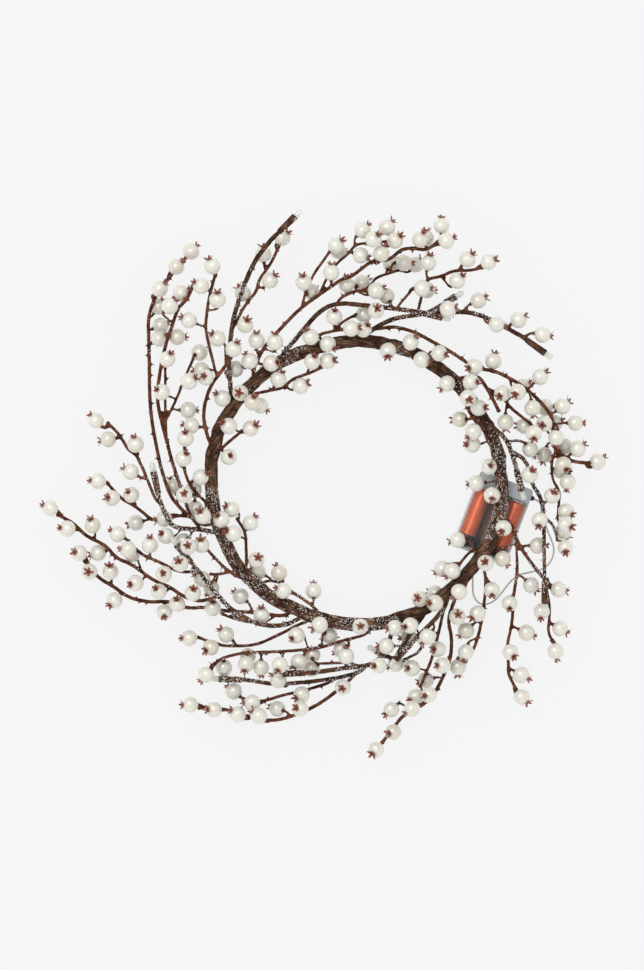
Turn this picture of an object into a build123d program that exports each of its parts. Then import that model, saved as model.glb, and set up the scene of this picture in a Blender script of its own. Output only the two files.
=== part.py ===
from build123d import *
import math
import os
from dataclasses import dataclass

# A lit candle ring: a hoop with twigs, berries and lamps, and the battery box that feeds the lamps.
# Sizes are in millimetres. The hoop's middle is over the origin, the table is z = 0 and +Z is up.
# The places of twigs and berries were read by eye on a straight view from above.

# Hoop
RING_RADIUS = 123.0
RING_THICKNESS = 11.6
RING_REST_GAP = 0.2
CORE_THICKNESS = 4.6
CORE_CLEARANCE = 0.1
# The hoop's radius on the view that the places were read from
READ_RADIUS = 123.0
# How far the bent hoop strays from a true circle, every 15 degrees from +X towards +Y
RING_WAVES = [2, 0.5, -1, -1.5, -2, -0.5, -1.5, -2, -1, 0, 2, 3,
              0.5, 0.5, 0.5, 0, -2.5, -3, -2, -1, -0.5, -0.5, 1.5, 3.5]

# Twigs
LAMP_TWIG = 3.8
SIDE_LAMP_TWIG = 3.4
THICK_STEM = 3.0
STEM = 2.6
FINE_STEM = 2.3
STALK = 1.9
BUD_SWELL = 1.25
CORNER_SHARE = 0.45
NEARLY_STRAIGHT = 0.6
LEAST_BEND = 0.8
LONGEST_STALK = 32.0
TURN_COST = 5.0
HEIGHT_TRIES = 40
# Turns of a berry's crown, in clock hours and degrees of tilt, that are tried in this order
CROWN_TRIES = [(0, 0), (0, 25), (0, -25), (1, 0), (-1, 0), (1, 25), (-1, 25), (2, 0), (-2, 0), (0, 50),
               (2, 40), (-2, 40), (4, 0), (-4, 0), (6, 0)]
# Shifts of a berry's place that are tried where no turn finds room
PLACE_TRIES = [(0, 0), (2, 0), (0, 2), (-2, 0), (0, -2), (4, 0), (0, 4), (-4, 0), (0, -4)]
ARC_SHARES = (0, 0.33, 0.67, 1)
STALK_SHARES = (0.25, 0.5, 0.75, 1)
STALK_CHOICES = 12
ROOT_SPACING = 2.0
LEAST_TURN = 0.01
GAP_STEPS = 12

# Berries
BERRY_DIAMETER = 14.4
STALK_SOCKET = 2.4
STALK_CLEARANCE = 0.05
STALK_NECK = 2.4
CALYX_SEAT = 0.45
CALYX_FOOT = 4.2
CALYX_FOOT_WAIST = 2.8
CALYX_WIDTH = 6.8
CALYX_WAIST = 3.4
CALYX_HEIGHT = 3.0
CALYX_HOLLOW = 2.0
SEPALS = 5
PIECE_GAP = 0.35

# Lamps
LENS_DIAMETER = 4.8
LENS_LENGTH = 8.4
RIM_DIAMETER = 5.6
RIM_THICKNESS = 1.0
LEG_WIDTH = 0.5
LEG_PITCH = 2.0
LEG_LENGTH = 5.0
SLEEVE_END_DIAMETER = 6.2
SLEEVE_ROOT_DIAMETER = 5.0
SLEEVE_LENGTH = 20.0
SHORT_SLEEVE = 11.0
PLUG_DIAMETER = 2.8
SLEEVE_CLEARANCE = 0.05

# Battery box
CELL_DIAMETER = 14.5
CELL_LENGTH = 50.5
CELL_NUB_DIAMETER = 5.5
CELL_NUB_LENGTH = 1.4
CELL_COUNT = 3
CELL_GAP = 0.4
CONTACT_SIZE = 9.0
CONTACT_THICKNESS = 0.5
SPRING_DIAMETER = 7.0
SPRING_WIRE = 0.5
SPRING_LENGTH = 2.0
CASE_WALL = 1.5
CASE_CORNER = 3.0
WIRING_ROOM = 10.5
COVER_THICKNESS = 1.4
COVER_CLEARANCE = 0.15
COVER_GRIP = 0.6
GRIP_RIBS = 5
LIP_HEIGHT = 1.0
LIP_WIDTH = 1.6
LID_THICKNESS = 1.2
POST_HEIGHT = 2.2
BOARD_THICKNESS = 1.0
BOARD_LENGTH = 34.0
BOARD_WIDTH = 8.6
SWITCH_LENGTH = 9.0
SWITCH_WIDTH = 4.0
SWITCH_HEIGHT = 4.2
SWITCH_OFFSET = 6.0
KNOB_LENGTH = 3.0
KNOB_HEIGHT = 2.0
KNOB_REACH = 2.0
KNOB_TRAVEL = 3.0
KNOB_CLEARANCE = 0.2
CHIP_SIZE = 4.0
CHIP_HEIGHT = 1.4
CHIP_OFFSET = -4.0
GLAND_DIAMETER = 5.2
GLAND_NECK = 3.6
GLAND_LENGTH = 3.0
GLAND_FLANGE = 1.0
GLAND_HEIGHT = 9.4
GLAND_CLEARANCE = 0.05
TAIL_THICKNESS = 1.0
LEAD_THICKNESS = 1.5
BOX_PLACE = (116.8, -29.6)
BOX_TURN = 68.9

# Sizes that follow from the ones above
BERRY_RADIUS = BERRY_DIAMETER / 2
CELL_PITCH = CELL_DIAMETER + CELL_GAP
BAY_LENGTH = CELL_LENGTH + SPRING_LENGTH + 2 * CONTACT_THICKNESS
CASE_LENGTH = BAY_LENGTH + WIRING_ROOM + 3 * CASE_WALL
CASE_WIDTH = CELL_COUNT * CELL_PITCH + CELL_GAP + 2 * CASE_WALL
COVER_BOTTOM = LIP_HEIGHT + COVER_CLEARANCE
COVER_TOP = COVER_BOTTOM + COVER_THICKNESS
CELL_AXIS = COVER_TOP + COVER_CLEARANCE + CELL_DIAMETER / 2
CASE_HEIGHT = CELL_AXIS + CELL_DIAMETER / 2 + CELL_GAP / 2 + CASE_WALL
BAY_START = -CASE_LENGTH / 2 + CASE_WALL
BAY_END = BAY_START + BAY_LENGTH
ROOM_START = BAY_END + CASE_WALL
ROOM_MIDDLE = ROOM_START + WIRING_ROOM / 2
ROOM_END = ROOM_START + WIRING_ROOM
INNER_WIDTH = CASE_WIDTH - 2 * CASE_WALL
RING_HEIGHT = CASE_HEIGHT + RING_REST_GAP + RING_THICKNESS / 2
COVER_SLIDE = BAY_LENGTH


@dataclass
class Twig:
    """One run of twig. Heights are over the hoop's centre line and are spread evenly along the route."""
    thickness: float
    heights: tuple
    route: list
    sleeve: float = 0


@dataclass
class Spray:
    """Twigs that grow from the hoop or from another spray. The first twig is the one that joins it.

    A fruit is its place from above, the clock hour that its crown points to, the tilt of the crown
    towards the viewer in degrees, and which way it moves where it would touch something else. A berry
    marked foot stands on the table.
    """
    name: str
    node: str
    carrier: str
    twigs: list
    fruits: list


SPRAYS = [
    Spray("on_the_ring", "ring_stalks", "ring", [], [
        (-98.2, 76.5, 9, 80, "up"), (-113.5, 72, 10.2, 30, "up"), (27, 112, 6, 50, "up"),
        (46.5, 119.5, 1.5, 30, "up"), (55.7, 104.5, 3.4, 20, "up"), (70.5, 110, 3.4, 35, "up"),
        (3.7, -122, 12, 85, "up"), (115.5, -10.5, 6, 65, "up"), (102.3, -0.3, 8.8, 0, ""),
        (113, 13.7, 1.5, 75, ""), (67.5, -94, 9, -50, ""), (67, -102, 9, 50, "up"),
        (54, -98.5, 10, 50, "up"), (-114.3, -31, 10.5, 50, "up"), (104, 64, 3, 40, "up"),
        (98.7, 32.7, 9, 50, ""), (77.3, 84.3, 7.6, 10, "up"), (87.5, -92.5, 7.5, 10, "up"),
        (-31, -120.5, 8, 15, "up")]),

    Spray("north_west_lamp", "north_west_lamp_branch", "ring", [
        Twig(LAMP_TWIG, (7, 10, 14, 18, 20, 20),
             [(-104, 66), (-106.5, 79), (-108.5, 105), (-104.5, 140), (-97, 163), (-86, 189),
              (-72, 206.5), (-51.5, 226.5)], SLEEVE_LENGTH),
    ], [(-102.7, 97, 2.5, 15, "")]),
    Spray("west_lamp", "west_lamp_branch", "ring", [
        Twig(LAMP_TWIG, (8, 10, 12, 13),
             [(-118, -45), (-130, -39.5), (-150, -38.5), (-157.5, -35.5), (-161, -28), (-166.5, -16),
              (-172, 10)], SLEEVE_LENGTH),
    ], [(-161.5, -45, 10, 55, ""), (-146.7, -49.5, 8, -50, "down"), (-142, -54, 11, 80, "")]),
    Spray("south_west_lamp", "south_west_lamp_branch", "ring", [
        Twig(LAMP_TWIG, (6, 9, 13, 16, 18),
             [(-42, -114), (-60, -121), (-75, -121.5), (-88, -118), (-107, -107), (-122, -90), (-133, -76),
              (-152.5, -52)], SLEEVE_LENGTH),
        Twig(STEM, (13, 13), [(-84, -119.5), (-100, -116.5), (-114, -111)]),
    ], []),
    Spray("south_lamp", "south_lamp_branch", "ring", [
        Twig(LAMP_TWIG, (-5, -4, 0, 6, 12, 13),
             [(35, -117), (27, -137), (21, -149), (12, -155), (-15, -158), (-35, -161),
              (-63, -162)], SLEEVE_LENGTH),
        Twig(SIDE_LAMP_TWIG, (-4, -7, -9, -9),
             [(10, -155.6), (3, -161), (-15, -166), (-45, -170), (-72, -171.3), (-90, -168), (-117, -166.7)],
             SLEEVE_LENGTH),
    ], [(19, -155, 9, 60, "up"), (-66, -167.5, 10.5, 20, "up")]),
    Spray("north_lamp", "north_lamp_branch", "ring", [
        Twig(LAMP_TWIG, (7, 12, 16, 17, 16, 15),
             [(-68, 102), (-60, 112), (-37, 139.5), (-29, 147), (-20, 151.5), (-10, 152.5), (20, 149.5),
              (48, 146), (73.5, 140.5)], SLEEVE_LENGTH),
    ], [(26, 158.7, 11, -40, ""), (17, 146.5, 12.8, 50, "down")]),
    Spray("north_east_lamp", "north_east_lamp_branch", "ring", [
        Twig(LAMP_TWIG, (2, 3, 5, 8, 10, 11),
             [(4, 121.5), (13, 130), (30, 139.5), (54, 143.5), (75, 145), (98, 145.5), (120, 136.5),
              (140, 125), (161, 110)], SLEEVE_LENGTH),
        Twig(SIDE_LAMP_TWIG, (8, 10), [(58, 144), (67, 148), (85, 158.5)], SHORT_SLEEVE),
    ], [(6.3, 130.7, 1.5, 50, "up"), (78, 147.5, 2.6, 15, "up"), (104, 155, 2.2, 10, ""),
        (119.5, 134.5, 3.4, 10, "up"), (138, 138.5, 2, 10, ""), (158.5, 126, 3.3, 0, "")]),
    Spray("east_lamp", "east_lamp_branch", "ring", [
        Twig(LAMP_TWIG, (9, 12, 13, 13),
             [(108, 57), (117, 46.5), (128, 37), (134, 20), (141, -7.5)], SLEEVE_LENGTH),
        Twig(SIDE_LAMP_TWIG, (9, 7, 6, 6, 6),
             [(131.5, 27.5), (142, 21), (146, 15), (149, 0), (157, -12), (159.5, -25), (160, -60),
              (160.5, -103)], SLEEVE_LENGTH),
        Twig(FINE_STEM, (12, 11), [(128.5, 36), (138, 36.3), (143.5, 34)]),
        Twig(FINE_STEM, (4, 1), [(159.6, -27), (168.5, -37), (171.2, -48.5)]),
    ], [(148, 28.7, 4.6, -30, ""), (147.5, 7, 1, 55, "up"), (166.5, -10.7, 1, 60, ""),
        (156, -31.5, 6.4, 45, "up"), (178, -55, 6, 60, "")]),
    Spray("south_east_lamp", "south_east_lamp_branch", "ring", [
        Twig(LAMP_TWIG, (7, 11, 12, 12),
             [(80, -92.5), (76, -105), (67, -116), (54, -129), (33, -150.5)], SLEEVE_LENGTH),
        Twig(FINE_STEM, (10, 8, 6), [(57, -126), (58, -135), (53, -144.5), (41.5, -149.7)]),
    ], [(34, -154, 8.3, 5, "down"), (60.5, -130.5, 7.3, 10, "")]),
    Spray("south_inner_lamp", "south_inner_lamp_branch", "ring", [
        Twig(LAMP_TWIG, (3, 3, 4),
             [(64, -105), (53, -118), (44, -131), (37.5, -142), (33, -150.5), (16.5, -142.3)], SHORT_SLEEVE),
    ], [(33, -123, 8.8, 20, ""), (25.5, -138.5, 9, 10, ""), (46, -121, 8.5, 50, "up"),
        (44.7, -131, 8.7, 5, "")]),

    Spray("north_west_outer", "north_west_outer_spray", "north_west_lamp", [
        Twig(STEM, (9, 5, 3),
             [(-106, 127), (-96, 149), (-84.5, 163), (-82.5, 173), (-72.5, 186), (-65.7, 201)]),
    ], [(-62.5, 208.5, 1.5, 20, "down"), (-79, 194.5, 11.8, 0, "down"), (-73, 172, 1.4, 30, ""),
        (-96, 161, 10.8, 0, "down"), (-94, 134, 12.7, 50, "")]),
    Spray("north_west", "north_west_spray", "ring", [
        Twig(THICK_STEM, (6, 12, 17, 19),
             [(-123.5, 28), (-127, 42), (-129.5, 55), (-129, 65), (-124, 82), (-112.5, 97), (-106.5, 106)]),
        Twig(STEM, (18, 18, 16),
             [(-118, 90), (-124, 113), (-128, 131), (-126, 150), (-123.5, 162.5), (-119.7, 176)]),
    ], [(-103.8, 113.5, 1, 30, "up"), (-127.5, 89.5, 10, 75, ""), (-131.5, 96, 9, 0, "down"),
        (-117.5, 122.5, 10.3, 30, ""), (-122, 184, 11.2, 20, ""), (-131.5, 167, 10, 25, ""),
        (-117.5, 155.5, 12, 35, ""), (-141.8, 138, 9.8, 20, ""), (-140, 48.7, 9.3, 0, "")]),
    Spray("west_high", "west_high_spray", "west_lamp", [
        Twig(THICK_STEM, (13, 14, 16, 18, 18, 17),
             [(-131, -39.5), (-141.5, -27), (-146, -12), (-156, 17), (-167.5, 62), (-169, 76), (-164, 110),
              (-151, 149), (-144, 155), (-138.5, 167)]),
        Twig(FINE_STEM, (15, 12), [(-161, 36), (-162, 60), (-162, 97)]),
        Twig(FINE_STEM, (12, 9), [(-162, 53), (-152, 72), (-143.5, 94), (-138.5, 105)]),
    ], [(-148.5, 161, 2, 0, ""), (-158, 150, 1.5, 10, ""), (-152, 124, 3, -20, ""), (-160, 105, 1, 40, ""),
        (-164.7, 77, 10, 50, ""), (-133, 111, 2, -50, "down"), (-141.5, 86, 2, 30, ""),
        (-142.7, 62, 3, -10, "down"), (-145.7, -10.3, 12, 80, "")]),
    Spray("west_outer", "west_outer_spray", "ring", [
        Twig(THICK_STEM, (-5, -8, -8, -7, -6, -8, -10, -10),
             [(-122, -36), (-131, -36.5), (-146, -25), (-157.5, -12.5), (-166, 12), (-175.5, 60),
              (-176, 110), (-177, 142), (-170, 161), (-147, 190)]),
        Twig(STEM, (-9, -10, -9, -6, -4),
             [(-141, -29.5), (-158, -26.5), (-168, -32.5), (-175, -30.5), (-187, -20.3), (-199, -14),
              (-211, -1)]),
    ], [(-140.2, 197, 1.4, 0, ""), (-152.8, 184, 1.6, 20, ""), (-167, 165, 1.5, 20, ""),
        (-168, 150.5, 1.2, 15, "down"), (-166.5, 134, 2.3, 0, "foot"), (-167.5, 122.5, 2, 15, "down"),
        (-155.5, -3, 11.3, 0, "down"), (-163.3, -30.5, 8.7, 15, ""), (-187.5, -34, 8.5, -15, "foot"),
        (-219.3, 1.5, 9.2, 20, ""), (-207.5, -13, 9.3, 60, ""), (-191, -10, 10.5, 60, "")]),
    Spray("west_far", "west_far_spray", "west_lamp", [
        Twig(STEM, (8, 3, -1, -4),
             [(-165, -19.5), (-171, -13), (-180.5, 11), (-187, 24), (-194, 28.5), (-201, 41), (-211, 51)]),
    ], [(-221.3, 53, 10.5, 10, ""), (-211, 37, 8.7, 0, ""), (-187.2, 32.8, 11.5, 30, ""),
        (-191.5, 9.5, 10, 10, "")]),
    Spray("south_west_inner", "south_west_sprays", "south_west_lamp", [
        Twig(STEM, (14, 12, 8, 5),
             [(-134, -75), (-150, -76), (-165, -68), (-183, -60.5), (-194, -49)]),
    ], [(-202.5, -43.5, 10, 10, ""), (-175, -52.8, 12, 25, ""), (-163, -77.5, 11, 80, ""),
        (-149.3, -68.3, 11, 70, ""), (-193.5, -56.5, 9.2, 20, "")]),
    Spray("south_west_outer", "south_west_sprays", "south_west_lamp", [
        Twig(THICK_STEM, (8, 4, 0, -4, -6, -6),
             [(-117, -96.5), (-133, -101), (-147, -96.5), (-158, -88.5), (-173, -82.5), (-190, -69.5),
              (-204, -64), (-213, -53), (-230, -45), (-240, -34.5), (-253.5, -27)]),
    ], [(-260, -21.5, 9.8, 10, ""), (-245.5, -39, 9.3, 35, ""), (-224, -36, 11.4, 40, ""),
        (-219.5, -59.5, 8.5, -10, ""), (-190.5, -60.7, 10.3, 60, ""), (-187.5, -85, 8.5, 55, ""),
        (-167.5, -92.3, 10.7, 60, ""), (-138.5, -93.5, 12.3, 60, "")]),
    Spray("south_west_low", "south_west_low_sprays", "ring", [
        Twig(THICK_STEM, (-6, -11, -12, -12, -13, -13),
             [(-52, -109), (-62, -113.5), (-88, -110), (-112, -109), (-130, -105.5), (-142, -107),
              (-160, -100.5), (-175, -101.7), (-193, -98), (-206, -88.5), (-220, -80.5), (-231, -66.5)]),
    ], [(-235.5, -59.5, 9.5, 60, ""), (-227, -75.5, 9, 85, ""), (-209, -75.3, 11.7, 45, ""),
        (-205.5, -100, 7.5, 35, ""), (-163, -110, 6, 60, ""), (-152, -103, 12, 55, ""),
        (-121.8, -106.3, 12, 45, ""), (-98.2, -96.5, 10.3, -10, ""), (-80.5, -112.5, 12, 30, "")]),
    Spray("south_low", "south_west_low_sprays", "ring", [
        Twig(STEM, (-6, -10, -11, -12),
             [(-34, -114.5), (-50, -121), (-66, -129.5), (-86, -138.5), (-115, -139), (-134.5, -131.3)]),
    ], [(-142, -132, 9, 30, ""), (-123.5, -140, 8, 45, ""), (-110.5, -129, 10.4, 15, "")]),
    Spray("south_mid", "south_mid_sprays", "ring", [
        Twig(STEM, (-3, 0, 1, 0, -3, -5),
             [(17, -121), (8, -129.5), (-12, -134), (-30, -140.3), (-60, -143.3), (-97, -144.3),
              (-115, -149.3), (-123.5, -157)]),
    ], [(-127.5, -163, 7.4, -10, "up"), (-112.5, -157, 6, -40, ""), (-92, -147.5, 6, -60, "down"),
        (-93.5, -154, 6.4, 35, ""), (-80.7, -157, 6, -15, ""), (-64.7, -154.5, 6.6, 50, ""),
        (-50.5, -129.5, 7.8, 50, ""), (-49, -152, 7.3, 20, "up"), (-12.5, -141.7, 8, -40, ""),
        (-22.7, -130, 4, -50, "down")]),
    Spray("south_between", "south_mid_sprays", "south_lamp", [
        Twig(FINE_STEM, (4, 6, 6), [(4, -156), (-6, -152.5), (-17, -153), (-33, -153.5)]),
    ], [(-8.3, -147, 12, 10, ""), (-37, -146, 12, -60, "down"), (-38, -158, 8, -50, "down")]),
    Spray("south_outer", "south_mid_sprays", "south_lamp", [
        Twig(STEM, (-9, -11, -12), [(-14, -166), (-25, -171), (-47, -177.5), (-62, -180.5), (-80, -186.5),
                                      (-96.5, -183.5)]),
    ], [(-46.3, -180, 8, 40, "up"), (-88.5, -187, 9, 10, "up"),
        (-104, -177.5, 10.3, -15, "")]),
    Spray("south_far", "south_far_spray", "south_lamp", [
        Twig(THICK_STEM, (-7, -11, -13, -13, -14),
             [(3, -161), (-11, -173), (-32, -189), (-54, -198.8), (-72, -203), (-91, -199.5), (-108, -193),
              (-133.5, -191.5)]),
    ], [(-11, -173.8, 8, 80, ""), (-47.3, -192, 9.6, 60, ""), (-67, -192.5, 9.5, -40, "foot"),
        (-82.7, -198, 10.2, 10, "up"), (-100.5, -197, 10, 20, "up"), (-121, -193, 9.2, 40, ""),
        (-141, -189, 9, 15, "")]),
    Spray("north_inner", "north_inner_spray", "ring", [
        Twig(STEM, (7, 11, 13), [(-44, 113.5), (-38, 120), (-31, 126.5), (-13, 130.2)]),
        Twig(FINE_STEM, (13, 13), [(-19, 129.2), (-12, 136.5), (0, 143.3)]),
    ], [(-4.3, 131, 2.8, 10, ""), (6.7, 143.3, 2.6, 20, ""), (-18.5, 141, 12.2, 45, ""),
        (-38.5, 124, 11, 20, ""), (-24, 118, 4.2, 25, "")]),
    Spray("north_mid", "north_mid_sprays", "north_lamp", [
        Twig(STEM, (15, 13, 11), [(-18, 152), (-12, 158), (0, 163.5), (9, 162.7)]),
        Twig(FINE_STEM, (9, 0, -6), [(3, 163.3), (11.5, 166.5), (16.5, 174.7), (36, 181)]),
    ], [(17, 163, 2.2, 10, ""), (-8, 168.5, 12, 20, "down"), (5.2, 170, 2, -40, "down"),
        (41, 187.3, 3, 0, ""), (29.8, 186.5, 1, -40, "foot"), (51, 186, 1.5, 10, "")]),
    Spray("north_spur", "north_mid_sprays", "north_lamp", [
        Twig(FINE_STEM, (14, 12), [(34, 148.3), (40, 155.5), (48, 164.5)]),
    ], [(56.3, 165, 3, 0, "")]),
    Spray("north_long", "north_long_spray", "ring", [
        Twig(THICK_STEM, (6, 12, 18, 21, 21, 20, 18, 17),
             [(-88, 86), (-87, 98), (-77, 117.5), (-48, 148), (-30, 160.7), (-12, 173), (-4, 175),
              (14, 189), (28, 188.7), (38, 198), (47, 199.5), (60, 197.5), (69, 204.3)]),
        Twig(FINE_STEM, (20, 18), [(-47, 148.8), (-44, 158), (-37, 176), (-22.5, 196)]),
        Twig(FINE_STEM, (20, 18, 17),
             [(-31, 160), (-26, 172), (-17, 186), (-7, 194), (-1, 202), (12, 204.3), (26, 205)]),
    ], [(76.7, 205.5, 2.2, 10, ""), (72.7, 218.5, 12, -5, ""), (54.3, 206.5, 12.9, 30, ""),
        (59.7, 208, 12, 10, "down"), (21.3, 194.3, 12.6, 0, ""), (33, 205.7, 1.6, 30, ""),
        (26.5, 217, 1.4, 10, ""), (14.7, 206.5, 1.6, 45, ""), (5.5, 214.5, 1.5, 10, ""),
        (4, 193, 3.6, 20, ""), (-21, 178.5, 12, 5, ""), (-17, 201.5, 1.6, 20, ""),
        (-15, 197, 3, -40, "down"), (-44.5, 170, 11.7, 40, ""), (-38, 162.5, 2, -50, "down"),
        (-68.8, 119.7, 12, 20, ""), (-72, 101.7, 2.8, 40, "up"), (-84.5, 121, 12, 30, ""),
        (-90.3, 103.5, 11, 10, "")]),
    Spray("north_east", "north_east_spray", "north_east_lamp", [
        Twig(STEM, (11, 13, 12, 12),
             [(52, 143.2), (55, 156), (59, 173), (72, 175.3), (83, 180.5), (96, 180.3), (107.5, 182.7)]),
    ], [(112.5, 187.5, 2.3, 25, ""), (94.5, 190, 1.4, 25, ""), (86, 171.7, 1.5, 30, ""),
        (61.5, 187, 12.4, 20, ""), (60.5, 164, 3, -30, "down")]),
    Spray("east_long", "east_long_spray", "north_east_lamp", [
        Twig(THICK_STEM, (1, 4, 9, 12, 12, 10, 6, 4, 2),
             [(14, 130.6), (32, 133.5), (50, 128.5), (84, 109.5), (101, 97.5), (118, 95.3), (140, 84),
              (159, 67), (167.5, 54.5), (167.5, 38), (173, 25), (184, 18), (198, 17)]),
        Twig(FINE_STEM, (3, 1, 0),
             [(170.5, 30), (166, 18), (167.3, 2), (173.5, -7), (171.5, -29)]),
    ], [(205.5, 18, 1.8, -10, ""), (188.5, 29, 1.8, 10, ""), (178, 31, 3, -10, "down"),
        (176, 15.5, 5, 50, "up"), (175, 10.5, 3.3, 0, "down"), (169.7, 38.5, 6.3, -10, "up"),
        (169, 51, 2.3, 15, "down"), (186.5, 51, 3, 5, ""), (175.5, 65.2, 1.8, -5, ""),
        (161, 64.3, 2.8, 0, "down"), (159.7, 50.3, 8, 70, ""), (149.5, 63.5, 5.7, 0, ""),
        (142, 82, 2, 10, "down"), (156.5, 90, 1.6, 15, ""), (116.5, 103.5, 12.4, -5, ""),
        (100.5, 98.5, 8.5, 45, "up"), (160.5, 24, 6.5, 0, ""), (180, 0.7, 6.3, 10, ""),
        (178.5, -24, 4, 35, ""), (178, -35, 3.9, 40, "up"), (176.7, -41, 5, -15, "")]),
    Spray("east_mid", "east_mid_spray", "ring", [
        Twig(THICK_STEM, (8, 13, 15, 15), [(83, 90), (97, 90.5), (105, 90), (113.5, 76.5), (121, 61.5)]),
        Twig(STEM, (15, 13, 11), [(111, 81), (124, 73.5), (131.5, 63.5), (148, 50.5)]),
    ], [(127, 51.5, 6, 0, ""), (124, 76, 7.5, 60, "up"), (136.7, 77, 7.5, 65, ""), (143.3, 48.5, 9, -40, "down"),
        (150.5, 42, 6, 50, ""), (97.5, 85.5, 3, 45, "up")]),
    Spray("south_east", "south_east_spray", "ring", [
        Twig(THICK_STEM, (-1, -3, -5, -8, -9),
             [(125, -27), (133, -36), (138, -52), (153, -73.5), (166.5, -88)]),
        Twig(STEM, (-4, -7, -10, -12, -13),
             [(135, -46.5), (137.5, -76), (134, -96), (133.3, -118), (128.6, -138), (130, -152.5),
              (129.5, -162), (136.5, -175.7)]),
        Twig(FINE_STEM, (-12, -13, -12), [(161, -83), (165.5, -108), (163.5, -126), (167.5, -135.5)]),
    ], [(172.5, -90.5, 3.4, 0, ""), (174, -124, 4, 0, ""), (170, -143.3, 5.7, 5, ""),
        (158, -109.3, 6.3, 35, "down"), (155, -53.3, 3, 5, "down"), (130.5, -102.5, 6, 55, ""),
        (149, -87, 4.5, -20, ""), (145.3, -127.5, 3.8, 0, ""), (131.5, -144, 4.8, 50, ""),
        (141, -163.5, 4, 15, ""), (141.2, -182.5, 4.4, 15, ""), (124.7, -64.5, 4.8, 5, ""),
        (125.3, -38.3, 7, 60, "")]),
    Spray("south_east_inner", "south_east_inner_sprays", "ring", [
        Twig(STEM, (-2, -4, -7, -10, -11),
             [(105, -65.5), (110, -76), (110.3, -92), (107, -119), (101.5, -139.5), (93.5, -152)]),
    ], [(110, -68, 11, 80, ""), (115.5, -91, 6, 50, "down"), (103.5, -111, 7.7, 30, ""),
        (93.7, -125.7, 7.6, 0, ""), (93.5, -144, 6.5, 15, ""), (87, -157, 6, -10, "")]),
    Spray("south_inner", "south_east_inner_sprays", "ring", [
        Twig(STEM, (-4, -6, -8), [(76, -96), (75, -106), (70.3, -128), (65, -149), (55, -173)]),
    ], [(69.5, -141.3, 9, 60, ""), (47.5, -157.5, 9, 60, ""), (50.7, -181.7, 8, 40, "")]),
    Spray("south_east_long", "south_east_long_spray", "ring", [
        Twig(THICK_STEM, (-4, -3, -4, -8, -11, -12, -13),
             [(91, -81), (84.5, -98), (78, -116), (81.7, -132), (80.5, -151), (69, -176), (59, -188.3),
              (41.5, -196), (22.5, -221)]),
    ], [(17.2, -227, 7.5, 45, ""), (31.7, -212, 8.5, 55, ""), (47.5, -192, 8, 20, "up"),
        (30, -193, 7.6, 20, ""), (62, -180, 8.5, 60, "up"), (59.7, -168, 8.5, 0, "foot"),
        (73.5, -155, 9, 50, ""), (86, -113.5, 12.5, 75, "")]),
    Spray("inner_north_west", "inner_sprays", "ring", [
        Twig(STEM, (3, 4, 5),
             [(-98, 76), (-86, 76), (-62, 80.8), (-54, 88.5), (-40, 93.2), (-29, 98.3)]),
    ], [(-24, 103.5, 2.7, 40, ""), (-37.3, 103, 12.8, 45, ""), (-47, 82.3, 2.2, 25, ""),
        (-66, 88.2, 1, 20, ""), (-81, 65.5, 4.2, 10, "down"), (-87.7, 68.5, 12.5, 50, "up")]),
    Spray("inner_west", "inner_sprays", "ring", [
        Twig(STEM, (3, 3), [(-122, 22), (-111, 32.5), (-96.5, 44.5)]),
    ], [(-89.5, 46.3, 2, 40, ""), (-108, 48.3, 10, 35, ""), (-108, 22, 1.5, 75, "")]),
    Spray("inner_south_west", "inner_sprays", "ring", [
        Twig(STEM, (4, 4, 3), [(-94, -78), (-93, -66), (-93.8, -42), (-101, -30.5)]),
    ], [(-105.7, -22.5, 10, 35, ""), (-89.5, -34, 1.2, 15, ""), (-104, -43, 9.8, 30, ""),
        (-84.5, -65.3, 1, 70, "up")]),
    Spray("inner_south", "inner_sprays", "ring", [
        Twig(STEM, (3, 3), [(-26, -116), (-37, -104), (-56, -91.5)]),
    ], [(-36, -92, 12, -30, ""), (-61.7, -91.5, 9.6, 25, "")]),
    Spray("inner_low", "inner_sprays", "ring", [
        Twig(FINE_STEM, (-4, -4), [(-84, -89), (-76, -82.5), (-63, -85)]),
    ], [(-83.5, -76, 9.8, 15, "down"), (-65.3, -76.5, 11.2, 5, "")]),
    Spray("inner_south_east", "inner_sprays", "ring", [
        Twig(FINE_STEM, (2, 1), [(112, -55), (98, -57), (86, -71)]),
    ], [(82, -75, 7.6, 10, ""), (73.5, -73, 8, -5, ""), (86.5, -48.5, 8.6, -5, "")]),
    Spray("inner_east", "inner_sprays", "ring", [
        Twig(STEM, (9, 9, 8), [(95, 77), (92.5, 69), (95.5, 61.5), (103, 50)]),
    ], [(94.7, 72, 5, 75, ""), (88.5, 54, 9, -40, ""), (99.5, 43.5, 7.5, 20, "")]),
    Spray("west_ring", "west_ring_sprays", "ring", [
        Twig(STEM, (6, 9, 9), [(-122, -22), (-128, -16), (-141, -3), (-146.5, 12), (-145.5, 30)]),
    ], [(-144.8, 37.8, 12, 50, ""), (-146.5, 20.7, 1, 45, ""), (-132, 5, 2, 30, ""),
        (-138, -5.5, 12, -50, "down"), (-137, -21.7, 6, -20, "down"), (-130, -28, 11, 50, "")]),
    Spray("south_west_ring", "west_ring_sprays", "ring", [
        Twig(STEM, (6, 7, 8), [(-92, -82), (-101, -80), (-113, -71), (-126, -57)]),
        Twig(FINE_STEM, (6, 5), [(-107, -76), (-115, -77.5), (-123.5, -77.5)]),
    ], [(-131.5, -52.5, 11.8, 50, ""), (-131, -81.5, 10, 20, "down"), (-123, -89.5, 7, 0, "down")]),
]

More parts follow.
